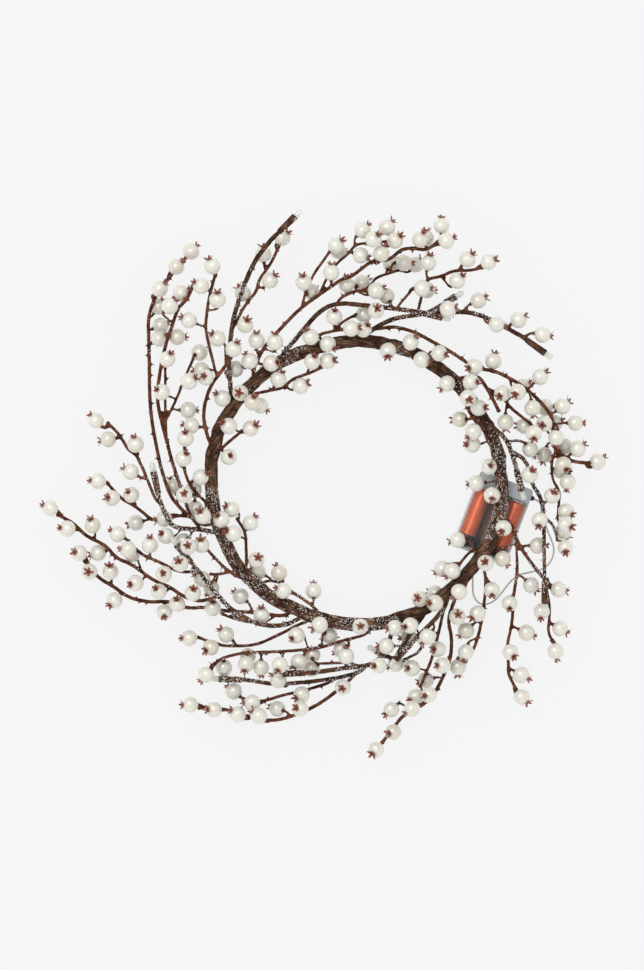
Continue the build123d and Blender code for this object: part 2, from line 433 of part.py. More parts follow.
# Lead from the box to the hoop, with its height over the table
LEAD_ROUTE = [(158.6, -19.5, 8), (160, -27, 5.5), (162, -37, 3.2), (166, -46.5, 2), (169.5, -56, 1.5),
              (167.5, -66, 1.5), (160, -73.5, 1.5), (149.5, -76, 1.5), (139.5, -78, 2), (131.5, -84, 3.5),
              (125, -93, 5.5), (117.5, -101.5, 8), (107.5, -104.5, 10.5), (100.5, -98.5, 13), (99, -88, 16)]
LEAD_END = (100.5, -72)
LEAD_START = 4.0


# Layout: where every twig, berry and stalk lies

def place(x, y):
    """A point that was read on the view, kept at its distance from the hoop when the hoop's radius changes."""
    spread = 1 + (RING_RADIUS - READ_RADIUS) / math.hypot(x, y)
    return x * spread, y * spread


def between(start, end, share):
    return tuple(a + (b - a) * share for a, b in zip(start, end))


def minus(a, b):
    return tuple(p - q for p, q in zip(a, b))


def dot(a, b):
    return sum(p * q for p, q in zip(a, b))


def step(start, direction, length):
    return tuple(p + d * length for p, d in zip(start, direction))


def share_along(point, start, end):
    """How far along a line, from 0 to 1, its nearest place to the point lies."""
    run = minus(end, start)
    return min(1, max(0, dot(minus(point, start), run) / dot(run, run)))


def point_gap(point, start, end):
    return math.dist(point, between(start, end, share_along(point, start, end)))


def line_gap(a_start, a_end, b_start, b_end):
    """Least distance between two lines, found by stepping to and fro between them."""
    share = 0.5
    for _ in range(GAP_STEPS):
        on_a = between(a_start, a_end, share)
        on_b = between(b_start, b_end, share_along(on_a, b_start, b_end))
        share = share_along(on_b, a_start, a_end)
    ends = [point_gap(a_start, b_start, b_end), point_gap(a_end, b_start, b_end),
            point_gap(b_start, a_start, a_end), point_gap(b_end, a_start, a_end)]
    return min(math.dist(on_a, on_b), *ends)


def ring_points():
    points = []
    for index, wave in enumerate(RING_WAVES):
        angle = 2 * math.pi * index / len(RING_WAVES)
        reach = RING_RADIUS + wave
        points.append((reach * math.cos(angle), reach * math.sin(angle), RING_HEIGHT))
    return points


def nearest_on(point, routes):
    """The place on some routes that lies nearest to a point seen from above."""
    best = None
    for route in routes:
        for start, end in zip(route, route[1:]):
            share = share_along(point[:2], start[:2], end[:2])
            found = between(start, end, share)
            gap = math.dist(found[:2], point[:2])
            if best is None or gap < best[0]:
                best = (gap, found)
    return best[1]


def rounded_route(route):
    """The route with each corner replaced by points on its arc."""
    points = [route[0]]
    for before, corner, after in zip(route, route[1:], route[2:]):
        reach = CORNER_SHARE * min(math.dist(before, corner), math.dist(after, corner))
        back = between(corner, before, reach / math.dist(before, corner))
        ahead = between(corner, after, reach / math.dist(after, corner))
        chord = math.dist(back, ahead) / 2
        half_turn = math.acos(min(1, chord / reach))
        if half_turn < math.radians(NEARLY_STRAIGHT):
            points.append(corner)
            continue
        middle = between(back, ahead, 0.5)
        centre = between(corner, middle, 1 / math.sin(math.pi / 2 - half_turn) ** 2)
        for share in ARC_SHARES:
            near = math.sin(2 * half_turn * (1 - share)) / math.sin(2 * half_turn)
            far = math.sin(2 * half_turn * share) / math.sin(2 * half_turn)
            points.append(tuple(c + near * (b - c) + far * (a - c) for a, b, c in zip(ahead, back, centre)))
    return points + [route[-1]]


def lifted(twig, carriers):
    """A twig's route with heights, starting on the centre line of what carries it."""
    places = [place(x, y) for x, y in twig.route]
    route = [nearest_on(places[0], carriers)]
    for index, (x, y) in enumerate(places[1:]):
        reach = index / max(1, len(places) - 2) * (len(twig.heights) - 1)
        lower = min(int(reach), len(twig.heights) - 2)
        height = between(twig.heights[lower:lower + 1], twig.heights[lower + 1:lower + 2], reach - lower)[0]
        route.append((x, y, RING_HEIGHT + height))
    return route


def box_coordinates(point):
    """How far along and across the battery box a point lies."""
    turn = math.radians(BOX_TURN)
    x, y = (p - q for p, q in zip(point[:2], place(*BOX_PLACE)))
    return x * math.cos(turn) + y * math.sin(turn), y * math.cos(turn) - x * math.sin(turn)


def box_gap(point):
    """Distance from a point to the battery box."""
    along, across = box_coordinates(point)
    over = point[2] - CASE_HEIGHT
    return math.hypot(max(0, abs(along) - CASE_LENGTH / 2), max(0, abs(across) - CASE_WIDTH / 2), max(0, over))


def over_cover_path(point):
    """Whether a berry here would stand where the cover slides out."""
    along, across = box_coordinates(point)
    beyond = -CASE_LENGTH / 2 - COVER_SLIDE - BERRY_DIAMETER
    return beyond < along < 0 and abs(across) < CASE_WIDTH / 2 + BERRY_RADIUS


def crown_point(centre, axis):
    """The middle of a berry's crown."""
    return step(centre, axis, BERRY_RADIUS - CALYX_SEAT + CALYX_HEIGHT / 2)


def from_box(along, across, height):
    """A point given along and across the battery box."""
    turn = math.radians(BOX_TURN)
    x, y = place(*BOX_PLACE)
    return (x + along * math.cos(turn) - across * math.sin(turn),
            y + along * math.sin(turn) + across * math.cos(turn), height)


def lead_points():
    """The lead's route from the end of the gland to the centre line of the hoop."""
    edge = -CASE_WIDTH / 2 - GLAND_LENGTH
    points = [from_box(ROOM_MIDDLE, edge, GLAND_HEIGHT), from_box(ROOM_MIDDLE, edge - LEAD_START, GLAND_HEIGHT)]
    points += [(*place(x, y), z) for x, y, z in LEAD_ROUTE]
    return points + [nearest_on(place(*LEAD_END), [ring_points()])]


class Layout:
    """Everything that is already placed, as rods and balls, and the rules for placing a berry."""

    def __init__(self):
        ring = ring_points()
        self.ring = ring + ring[:1]
        self.routes = {"ring": [self.ring]}
        self.corners = {}
        self.rods = []
        self.balls = []
        self.lamps = []
        self.add_rods("ring", self.ring, RING_THICKNESS)
        self.add_rods("lead", lead_points(), LEAD_THICKNESS)
        for spray in SPRAYS:
            self.add_twigs(spray)

    def add_rods(self, owner, route, thickness):
        for start, end in zip(route, route[1:]):
            self.rods.append((start, end, thickness / 2, owner))

    def add_twigs(self, spray):
        own = []
        for twig in spray.twigs:
            carriers = own if own else self.routes[spray.carrier]
            route = lifted(twig, carriers)
            if twig.sleeve:
                route = self.add_lamp(spray.name, route, twig)
            rounded = rounded_route(route)
            self.add_rods(spray.name, rounded, twig.thickness)
            own.append(rounded)
            self.corners.setdefault(spray.name, []).append(route)
        self.routes[spray.name] = own if own else self.routes[spray.carrier]

    def add_lamp(self, owner, route, twig):
        """Ends the twig at the root of its sleeve and notes where the lamp stands."""
        tip = route[-1]
        run = minus(tip, route[-2])
        direction = step((0, 0, 0), run, 1 / math.hypot(*run))
        root = step(tip, direction, -twig.sleeve)
        self.lamps.append((root, direction, twig))
        self.rods.append((root, tip, SLEEVE_END_DIAMETER / 2, owner))
        self.rods.append((tip, step(tip, direction, LENS_LENGTH), LENS_DIAMETER / 2, owner))
        return route[:-1] + [root]

    def near(self, x, y, reach):
        rods = []
        for rod in self.rods:
            middle = between(rod[0], rod[1], 0.5)
            if math.dist(middle[:2], (x, y)) < reach + math.dist(rod[0], rod[1]) / 2:
                rods.append(rod)
        balls = [ball for ball in self.balls if math.dist(ball[0][:2], (x, y)) < reach]
        return rods, balls

    def berry_is_free(self, centre, axis, rods, balls):
        floor = BERRY_RADIUS
        if over_cover_path(centre):
            floor = BERRY_RADIUS + COVER_TOP + PIECE_GAP
        if centre[2] < floor or box_gap(centre) < BERRY_RADIUS + PIECE_GAP:
            return False
        for ball, radius in balls:
            if math.dist(ball, centre) < radius + BERRY_RADIUS + PIECE_GAP:
                return False
        for start, end, radius, _ in rods:
            if point_gap(centre, start, end) < BERRY_RADIUS + radius + PIECE_GAP:
                return False
        return self.crown_is_free(crown_point(centre, axis), rods, balls)

    def crown_is_free(self, crown, rods, balls):
        reach = CALYX_WIDTH / 2 + PIECE_GAP
        if crown[2] < reach or box_gap(crown) < reach:
            return False
        for ball, radius in balls:
            if math.dist(ball, crown) < radius + reach:
                return False
        for start, end, radius, _ in rods:
            if point_gap(crown, start, end) < radius + reach:
                return False
        return True

    def stalk_is_free(self, route, own, rods, balls):
        for start, end in zip(route, route[1:]):
            for share in STALK_SHARES:
                point = between(start, end, share)
                if point[2] < COVER_TOP + STALK or box_gap(point) < STALK / 2 + PIECE_GAP:
                    return False
            for ball, radius in balls:
                if point_gap(ball, start, end) < radius + STALK / 2 + PIECE_GAP:
                    return False
            for rod_start, rod_end, radius, rod_owner in rods:
                if rod_owner in own:
                    continue
                if line_gap(start, end, rod_start, rod_end) < radius + STALK / 2 + PIECE_GAP:
                    return False
        return True

    def roots(self, spray):
        """Places where a stalk may grow, every few millimetres along the spray's twigs."""
        found = []
        for route in self.routes[spray.name]:
            for start, end in zip(route, route[1:]):
                count = max(2, round(math.dist(start, end) / ROOT_SPACING))
                found += [between(start, end, index / count) for index in range(count + 1)]
        if not spray.twigs:
            return found
        clear = RING_THICKNESS / 2 + STALK
        hoop = list(zip(self.ring, self.ring[1:]))
        return [root for root in found if min(point_gap(root, a, b) for a, b in hoop) > clear]

    def stalk_choices(self, centre, axis, roots):
        """Stalk routes from twig to berry, the shortest and straightest first."""
        knee = step(centre, axis, -BERRY_RADIUS - STALK_NECK)
        inside = step(centre, axis, STALK_SOCKET - BERRY_RADIUS)
        choices = []
        for root in roots:
            run = minus(knee, root)
            length = math.hypot(*run)
            if not STALK < length < LONGEST_STALK:
                continue
            turn = math.acos(max(-1, min(1, dot(run, axis) / length)))
            bend = CORNER_SHARE * min(length, STALK_NECK + STALK_SOCKET) / math.tan(max(turn, LEAST_TURN) / 2)
            if bend > STALK * LEAST_BEND:
                choices.append((length + turn * TURN_COST, [root, knee, inside]))
        choices.sort()
        return [route for _, route in choices[:STALK_CHOICES]]

    def add_berry(self, spray, fruit, roots):
        """Places a berry as it was read, or turned or moved a little where its stalk finds no way."""
        read_x, read_y, hour, tilt, way = fruit
        for shift_x, shift_y in PLACE_TRIES:
            x, y = place(read_x + shift_x, read_y + shift_y)
            near = self.near(x, y, LONGEST_STALK + BERRY_DIAMETER)
            for hour_shift, tilt_shift in CROWN_TRIES:
                turn = math.radians(30 * (hour + hour_shift))
                rise = math.radians(tilt + tilt_shift)
                axis = (math.cos(rise) * math.sin(turn), math.cos(rise) * math.cos(turn), math.sin(rise))
                found = self.settled(spray, (x, y), axis, way, roots, near)
                if found:
                    centre, route = found
                    self.balls.append((centre, BERRY_RADIUS))
                    self.balls.append((crown_point(centre, axis), CALYX_WIDTH / 2))
                    self.add_rods(spray.name, route[:2] + [step(centre, axis, -BERRY_RADIUS)], STALK)
                    return centre, axis, route
        raise ValueError(f"no room for the berry at {read_x:.1f}, {read_y:.1f} on {spray.name}")

    def settled(self, spray, spot, axis, way, roots, near):
        """The height that the stalk asks for, or the nearest one where berry and stalk touch nothing."""
        own = [spray.name] if spray.twigs else [spray.name, spray.carrier]
        reach = BERRY_RADIUS + STALK_NECK
        foot = nearest_on((spot[0] - axis[0] * reach, spot[1] - axis[1] * reach), self.routes[spray.name])
        height = BERRY_RADIUS if way == "foot" else max(foot[2] + axis[2] * reach, BERRY_RADIUS)
        signs = {"up": (1,), "foot": (1,), "down": (-1,), "": (1, -1)}[way]
        for level in range(HEIGHT_TRIES):
            for sign in signs:
                centre = (*spot, height + sign * level)
                if not self.berry_is_free(centre, axis, *near):
                    continue
                for route in self.stalk_choices(centre, axis, roots):
                    visible = route[:2] + [step(centre, axis, -BERRY_RADIUS)]
                    if self.stalk_is_free(visible, own, *near):
                        return centre, route
        return None


def sleeve_socket(length):
    """Depth of the hole that the twig's plug goes into: what the lamp's rim and legs leave of the sleeve."""
    return length - RIM_THICKNESS - LEG_LENGTH - SLEEVE_CLEARANCE


# Solids

UP = (Align.CENTER, Align.CENTER, Align.MIN)
DOWN = (Align.CENTER, Align.CENTER, Align.MAX)
FROM_START = (Align.MIN, Align.CENTER, Align.MIN)


def bent_corners(route):
    """The route without corners that hardly bend."""
    kept = [Vector(*route[0])]
    for corner, after in zip(route[1:], route[2:]):
        arrive = Vector(*corner) - kept[-1]
        if arrive.get_angle(Vector(*after) - Vector(*corner)) > NEARLY_STRAIGHT:
            kept.append(Vector(*corner))
    return kept + [Vector(*route[-1])]


def corner_arcs(triples):
    """An arc at each corner, as wide as the two runs beside it leave room for."""
    arcs = []
    for before, corner, after in triples:
        back = before - corner
        ahead = after - corner
        reach = CORNER_SHARE * min(back.length, ahead.length)
        first = corner + back.normalized() * reach
        last = corner + ahead.normalized() * reach
        arcs.append(Edge.make_tangent_arc(first, back * -1, last))
    return arcs


def open_path(corners):
    arcs = corner_arcs(zip(corners, corners[1:], corners[2:]))
    starts = [corners[0]] + [arc @ 1 for arc in arcs]
    ends = [arc @ 0 for arc in arcs] + [corners[-1]]
    lines = [Edge.make_line(start, end) for start, end in zip(starts, ends)]
    return Wire(lines + arcs)


def closed_path(corners):
    arcs = corner_arcs(zip(corners[-1:] + corners[:-1], corners, corners[1:] + corners[:1]))
    lines = [Edge.make_line(arc @ 1, following @ 0) for arc, following in zip(arcs, arcs[1:] + arcs[:1])]
    return Wire(lines + arcs)


def along_path(path, thickness):
    return sweep(Plane(path @ 0, z_dir=path % 0) * Circle(thickness / 2), path=path)


def tube(route, thickness):
    return along_path(open_path(bent_corners(route)), thickness)


def standing(origin, direction):
    """A frame with its +Z along a direction."""
    return Plane(Vector(*origin), z_dir=Vector(*direction)).location


def joined(pieces):
    """One solid from pieces that run into each other, added one by one."""
    whole = pieces[0]
    for piece in pieces[1:]:
        whole = whole.fuse(piece)
    return whole


def make_hoop(thickness):
    return along_path(closed_path([Vector(*point) for point in ring_points()]), thickness)


def make_berry():
    """A ball with a flat seat for its crown at the top and a blind hole for its stalk at the bottom."""
    ball = Sphere(BERRY_RADIUS)
    seat = Pos(0, 0, BERRY_RADIUS - CALYX_SEAT) * Cylinder(BERRY_RADIUS, BERRY_RADIUS, align=UP)
    hole = Pos(0, 0, STALK_SOCKET - BERRY_RADIUS) * Cylinder(
        STALK / 2 + STALK_CLEARANCE, 2 * STALK_SOCKET, align=DOWN)
    return ball - seat - hole


def star(width, waist):
    """A flat star with a point for each sepal."""
    points = []
    for index in range(2 * SEPALS):
        reach = width / 2 if index % 2 == 0 else waist / 2
        angle = math.pi * index / SEPALS
        points.append((reach * math.cos(angle), reach * math.sin(angle)))
    return Polygon(*points, align=None)


def make_calyx():
    """A crown of pointed sepals that widens upwards, with a hollow between them."""
    foot = star(CALYX_FOOT, CALYX_FOOT_WAIST)
    rim = Pos(0, 0, CALYX_HEIGHT) * star(CALYX_WIDTH, CALYX_WAIST)
    crown = loft([foot, rim], ruled=True)
    hollow = Pos(0, 0, CALYX_HEIGHT) * Cone(0, CALYX_WAIST / 2, CALYX_HOLLOW, align=DOWN)
    return crown - hollow


def make_sleeve(twig):
    """A tapered sleeve with a seat for the lamp's rim, a room for its legs and a socket for the twig."""
    taper = (SLEEVE_END_DIAMETER - SLEEVE_ROOT_DIAMETER) / SLEEVE_LENGTH
    root = SLEEVE_END_DIAMETER - taper * twig.sleeve
    body = Cone(root / 2, SLEEVE_END_DIAMETER / 2, twig.sleeve, align=UP)
    socket = Cylinder(PLUG_DIAMETER / 2 + SLEEVE_CLEARANCE, sleeve_socket(twig.sleeve), align=UP)
    legs = Cylinder(LEG_PITCH / 2 + LEG_WIDTH, twig.sleeve, align=UP)
    seat = Pos(0, 0, twig.sleeve - RIM_THICKNESS) * Cylinder(
        RIM_DIAMETER / 2 + SLEEVE_CLEARANCE, 2 * RIM_THICKNESS, align=UP)
    return body - socket - legs - seat


def make_lamp():
    """A clear round-nosed lamp standing on its rim."""
    rim = Cylinder(RIM_DIAMETER / 2, RIM_THICKNESS, align=UP)
    barrel = Cylinder(LENS_DIAMETER / 2, LENS_LENGTH - LENS_DIAMETER / 2, align=UP)
    nose = Pos(0, 0, LENS_LENGTH - LENS_DIAMETER / 2) * Sphere(LENS_DIAMETER / 2)
    return rim + barrel + nose


def make_legs():
    leg = Box(LEG_WIDTH, LEG_WIDTH, LEG_LENGTH, align=DOWN)
    return [Pos(side * LEG_PITCH / 2, 0, 0) * leg for side in (-1, 1)]


def make_twig_end(route, twig):
    """A swollen bud, or under a lamp the thinner plug that goes into its sleeve."""
    direction = minus(route[-1], route[-2])
    if not twig.sleeve:
        return standing(route[-1], direction) * Sphere(twig.thickness * BUD_SWELL / 2)
    length = sleeve_socket(twig.sleeve)
    plug = Pos(0, 0, -twig.thickness / 2) * Cylinder(
        PLUG_DIAMETER / 2, length + twig.thickness / 2, align=UP)
    return standing(route[-1], direction) * plug


def make_stems(spray, layout, stalks, cutters):
    """The spray's twigs and stalks as one solid, cut to the surface of what carries it."""
    routes = layout.corners.get(spray.name, [])
    pieces = [tube(route, twig.thickness) for route, twig in zip(routes, spray.twigs)]
    pieces += [make_twig_end(route, twig) for route, twig in zip(routes, spray.twigs)]
    rods = [tube(route, STALK) for route in stalks]
    if spray.twigs:
        return [joined(pieces + rods) - cutters[spray.carrier]]
    return [rod - cutters[spray.carrier] for rod in rods]


def sector_name(point):
    """The sixth of the compass that a berry stands in."""
    names = ["east", "north_east", "north_west", "west", "south_west", "south_east"]
    sector = 360 / len(names)
    angle = math.degrees(math.atan2(point[1], point[0])) + sector / 2
    return names[int(angle % 360 // sector)]


def box_frame():
    return Location((*place(*BOX_PLACE), 0), (0, 0, BOX_TURN))


def make_case():
    """A clear case, open below, with a bay for the cells, a room for the wiring and lips for the cover."""
    shell = Box(CASE_LENGTH, CASE_WIDTH, CASE_HEIGHT, align=UP)
    shell = fillet(shell.edges().filter_by(Axis.Z), CASE_CORNER)
    bay = Pos(BAY_START, 0, LIP_HEIGHT) * Box(
        BAY_LENGTH, INNER_WIDTH, CASE_HEIGHT - CASE_WALL - LIP_HEIGHT, align=FROM_START)
    mouth = Pos(BAY_START, 0, 0) * Box(BAY_LENGTH, INNER_WIDTH - 2 * LIP_WIDTH, CASE_WALL, align=FROM_START)
    exit_slot = Pos(-CASE_LENGTH / 2, 0, 0) * Box(
        CASE_WALL, INNER_WIDTH, COVER_TOP + COVER_CLEARANCE, align=FROM_START)
    room = Pos(ROOM_START, 0, 0) * Box(
        WIRING_ROOM, INNER_WIDTH, CASE_HEIGHT - CASE_WALL, align=FROM_START)
    knob_slot = Pos(ROOM_END, SWITCH_OFFSET + KNOB_TRAVEL / 2, knob_bottom() - KNOB_CLEARANCE) * Box(
        CASE_WALL, KNOB_LENGTH + KNOB_TRAVEL + 2 * KNOB_CLEARANCE, KNOB_HEIGHT + 2 * KNOB_CLEARANCE,
        align=FROM_START)
    gland_hole = Pos(ROOM_MIDDLE, -CASE_WIDTH / 2, GLAND_HEIGHT) * Rot(90, 0, 0) * Cylinder(
        GLAND_NECK / 2 + GLAND_CLEARANCE, 4 * CASE_WALL)
    return shell - bay - mouth - exit_slot - room - knob_slot - gland_hole


def make_cover():
    """A flat sliding cover with grip ribs below."""
    length = BAY_LENGTH + CASE_WALL - COVER_CLEARANCE
    width = INNER_WIDTH - 2 * COVER_CLEARANCE
    plate = Pos(-CASE_LENGTH / 2, 0, COVER_BOTTOM) * Box(length, width, COVER_THICKNESS, align=FROM_START)
    rib_width = width / 3
    pitch = 2 * COVER_THICKNESS
    ribs = []
    for index in range(GRIP_RIBS):
        along = -CASE_LENGTH / 2 + CASE_WALL + (index + 1) * pitch
        ribs.append(Pos(along, 0, COVER_BOTTOM - COVER_GRIP) * Box(
            COVER_THICKNESS, rib_width, COVER_GRIP + COVER_THICKNESS / 2, align=FROM_START))
    return plate + ribs


def make_lid():
    """The plate under the wiring room, with two posts for the circuit board."""
    plate = Pos(ROOM_MIDDLE, 0, 0) * Box(
        WIRING_ROOM - 2 * COVER_CLEARANCE, INNER_WIDTH - 2 * COVER_CLEARANCE, LID_THICKNESS, align=UP)
    posts = []
    for side in (-1, 1):
        posts.append(Pos(ROOM_MIDDLE, side * BOARD_LENGTH / 3, 0) * Box(
            BOARD_WIDTH / 2, POST_HEIGHT, LID_THICKNESS + POST_HEIGHT, align=UP))
    return plate + posts


def board_top():
    return LID_THICKNESS + POST_HEIGHT + BOARD_THICKNESS


def knob_bottom():
    return board_top() + (SWITCH_HEIGHT - KNOB_HEIGHT) / 2


def make_board():
    return Pos(ROOM_MIDDLE, 0, board_top() - BOARD_THICKNESS) * Box(
        BOARD_WIDTH, BOARD_LENGTH, BOARD_THICKNESS, align=UP)


def make_chip():
    return Pos(ROOM_MIDDLE, CHIP_OFFSET, board_top()) * Box(CHIP_SIZE, CHIP_SIZE, CHIP_HEIGHT, align=UP)


def make_switch_body():
    """A small housing on the board, open towards the wall where the knob slides."""
    front = ROOM_END - COVER_CLEARANCE
    middle = SWITCH_OFFSET + KNOB_TRAVEL / 2
    body = Pos(front - SWITCH_WIDTH, middle, board_top()) * Box(
        SWITCH_WIDTH, SWITCH_LENGTH, SWITCH_HEIGHT, align=FROM_START)
    track = Pos(front - SWITCH_WIDTH / 2, middle, knob_bottom() - KNOB_CLEARANCE) * Box(
        SWITCH_WIDTH, KNOB_LENGTH + KNOB_TRAVEL + 2 * KNOB_CLEARANCE, KNOB_HEIGHT + 2 * KNOB_CLEARANCE,
        align=FROM_START)
    return body - track


def make_knob():
    start = ROOM_END - COVER_CLEARANCE - SWITCH_WIDTH / 2 + KNOB_CLEARANCE
    length = CASE_LENGTH / 2 + KNOB_REACH - start
    return Pos(start, SWITCH_OFFSET, knob_bottom()) * Box(
        length, KNOB_LENGTH, KNOB_HEIGHT, align=FROM_START)


def cell_rows():
    """Each cell's place across the box, and whether its nub points to the wiring room."""
    first = -(CELL_COUNT - 1) / 2 * CELL_PITCH
    return [(first + index * CELL_PITCH, index % 2 == 0) for index in range(CELL_COUNT)]


def at_row(across, forward):
    """A frame that lies along the bay with its +Z from the spring end to the nub end of a cell."""
    if forward:
        return Pos(BAY_START, across, CELL_AXIS) * Rot(0, 90, 0)
    return Pos(BAY_END, across, CELL_AXIS) * Rot(0, -90, 0)


def make_cell():
    can = Cylinder(CELL_DIAMETER / 2, CELL_LENGTH - CELL_NUB_LENGTH, align=UP)
    can = fillet(can.edges(), CELL_NUB_LENGTH / 2)
    nub = Pos(0, 0, CELL_LENGTH - 2 * CELL_NUB_LENGTH) * Cylinder(
        CELL_NUB_DIAMETER / 2, 2 * CELL_NUB_LENGTH, align=UP)
    return Pos(0, 0, CONTACT_THICKNESS + SPRING_LENGTH) * (can + nub)


def make_plates():
    plate = Box(CONTACT_SIZE, CONTACT_SIZE, CONTACT_THICKNESS, align=UP)
    return [plate, Pos(0, 0, BAY_LENGTH - CONTACT_THICKNESS) * plate]


def make_spring():
    """Turns of wire between a plate and the flat end of a cell."""
    height = SPRING_LENGTH - SPRING_WIRE
    path = Helix(pitch=height / 2, height=height, radius=(SPRING_DIAMETER - SPRING_WIRE) / 2)
    wire = sweep(Plane(path @ 0, z_dir=path % 0) * Circle(SPRING_WIRE / 2), path=path, is_frenet=True)
    return Pos(0, 0, CONTACT_THICKNESS + SPRING_WIRE / 2) * wire


def make_gland():
    """A flanged plug in the side wall that the lead comes out of."""
    flange = Pos(0, 0, -CASE_WALL - GLAND_FLANGE) * Cylinder(GLAND_DIAMETER / 2, GLAND_FLANGE, align=UP)
    neck = Pos(0, 0, -CASE_WALL - GLAND_FLANGE / 2) * Cylinder(
        GLAND_NECK / 2, CASE_WALL + GLAND_FLANGE, align=UP)
    nose = Cone(GLAND_DIAMETER / 2, LEAD_THICKNESS, GLAND_LENGTH, align=UP)
    return gland_frame() * (flange + neck + nose)


def gland_frame():
    """A frame on the outside of the case at the gland, with +Z pointing out of the box."""
    return Pos(ROOM_MIDDLE, -CASE_WIDTH / 2, GLAND_HEIGHT) * Rot(90, 0, 0)


def make_tails():
    """Two wires from the gland down to the board."""
    back = -CASE_WIDTH / 2 + CASE_WALL + GLAND_FLANGE
    tails = []
    for side in (-1, 1):
        along = ROOM_MIDDLE + side * TAIL_THICKNESS
        land = -BOARD_LENGTH / 2 + (2 + side) * TAIL_THICKNESS
        route = [(along, back, GLAND_HEIGHT), (along, land, GLAND_HEIGHT), (along, land, board_top())]
        tails.append(tube(route, TAIL_THICKNESS))
    return tails


def save(name, solids):
    shape = solids[0] if len(solids) == 1 else Compound(solids)
    export_step(shape, os.path.join("parts", name + ".step"))


os.makedirs("parts", exist_ok=True)

layout = Layout()
hoop = make_hoop(RING_THICKNESS)
berry = make_berry()
calyx = make_calyx()
lamp = make_lamp()

# Twigs with their stalks, and the berries and crowns that they carry
nodes = {"ring": [hoop - make_hoop(CORE_THICKNESS + 2 * CORE_CLEARANCE)],
         "ring_core": [make_hoop(CORE_THICKNESS)]}
cutters = {"ring": hoop}
for spray in SPRAYS:
    roots = layout.roots(spray)
    settled = [layout.add_berry(spray, fruit, roots) for fruit in spray.fruits]
    stems = make_stems(spray, layout, [route for _, _, route in settled], cutters)
    cutters[spray.name] = stems[0]
    nodes.setdefault(spray.node, []).extend(stems)
    for centre, axis, _ in settled:
        frame = standing(centre, axis)
        sector = sector_name(centre)
        nodes.setdefault("berries_" + sector, []).append(frame * berry)
        crown = frame * Pos(0, 0, BERRY_RADIUS - CALYX_SEAT) * calyx
        nodes.setdefault("calyxes_" + sector, []).append(crown)

# Lamps
for root, direction, twig in layout.lamps:
    frame = standing(root, direction)
    seat = frame * Pos(0, 0, twig.sleeve - RIM_THICKNESS)
    nodes.setdefault("lamp_sleeves", []).append(frame * make_sleeve(twig))
    nodes.setdefault("lamps", []).append(seat * lamp)
    nodes.setdefault("lamp_legs", []).extend(seat * leg for leg in make_legs())

# Battery box and its lead
box = box_frame()
nodes["box_case"] = [box * make_case()]
nodes["box_cover"] = [box * make_cover()]
nodes["wiring_lid"] = [box * make_lid()]
nodes["circuit_board"] = [box * make_board()]
nodes["timer_chip"] = [box * make_chip()]
nodes["switch_body"] = [box * make_switch_body()]
nodes["switch_knob"] = [box * make_knob()]
rows = [box * at_row(across, forward) for across, forward in cell_rows()]
nodes["cells"] = [row * make_cell() for row in rows]
nodes["contact_plates"] = [row * plate for row in rows for plate in make_plates()]
nodes["contact_springs"] = [row * make_spring() for row in rows]
nodes["lead_gland"] = [box * make_gland()]
nodes["box_wires"] = [box * tail for tail in make_tails()]
lead = lead_points()
nodes["lead_cord"] = [tube(lead, LEAD_THICKNESS) - hoop]
lead_arcs = open_path(bent_corners(lead)).edges().filter_by(GeomType.CIRCLE)
print("lead radii", [round(arc.radius, 1) for arc in lead_arcs])

for name, solids in nodes.items():
    save(name, solids)
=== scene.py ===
"""The looks of a lit candle ring: bark hoop, frosted twigs, berries, crowns, lamps and battery box."""
import math
import random

import bmesh
import bpy
import numpy as np
from mathutils import Matrix, Vector, noise
from mathutils.kdtree import KDTree


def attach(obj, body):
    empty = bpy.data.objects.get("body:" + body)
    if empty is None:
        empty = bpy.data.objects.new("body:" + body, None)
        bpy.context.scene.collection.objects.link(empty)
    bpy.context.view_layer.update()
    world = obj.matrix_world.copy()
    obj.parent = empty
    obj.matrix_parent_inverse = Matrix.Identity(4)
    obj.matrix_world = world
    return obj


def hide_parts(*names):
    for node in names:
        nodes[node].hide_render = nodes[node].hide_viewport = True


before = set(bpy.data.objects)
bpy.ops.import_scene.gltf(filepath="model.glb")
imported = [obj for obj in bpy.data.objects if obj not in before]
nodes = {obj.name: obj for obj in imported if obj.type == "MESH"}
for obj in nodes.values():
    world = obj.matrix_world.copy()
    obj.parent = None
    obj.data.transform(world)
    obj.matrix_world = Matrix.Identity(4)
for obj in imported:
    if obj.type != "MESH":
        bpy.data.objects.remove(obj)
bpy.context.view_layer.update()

# View: the photograph looks straight down on the ring. The hoop's middle is at a known pixel, and a pixel
# covers a known length at the height of the twigs, which gives the lens and the camera's place.
MM = 0.001
PHOTO_SIZE = (644, 970)
HOOP_PIXEL = (356, 483)
PIXEL = 0.85 * MM
CAMERA_HEIGHT = 8.0
CAMERA_REACH = 30.0
SCALE_HEIGHT = 30 * MM
SENSOR = 36.0


def show(name, data):
    """A new object in the scene."""
    thing = bpy.data.objects.new(name, data)
    bpy.context.scene.collection.objects.link(thing)
    return thing


camera = show("camera", bpy.data.cameras.new("camera"))
camera.data.sensor_fit = "VERTICAL"
camera.data.sensor_height = SENSOR
camera.data.lens = SENSOR * (CAMERA_HEIGHT - SCALE_HEIGHT) / (PHOTO_SIZE[1] * PIXEL)
camera.data.clip_end = CAMERA_REACH
camera_x = (PHOTO_SIZE[0] / 2 - HOOP_PIXEL[0]) * PIXEL
camera_y = (HOOP_PIXEL[1] - PHOTO_SIZE[1] / 2) * PIXEL
camera.location = (camera_x, camera_y, CAMERA_HEIGHT)
bpy.context.scene.camera = camera
bpy.context.scene.view_settings.view_transform = "Standard"

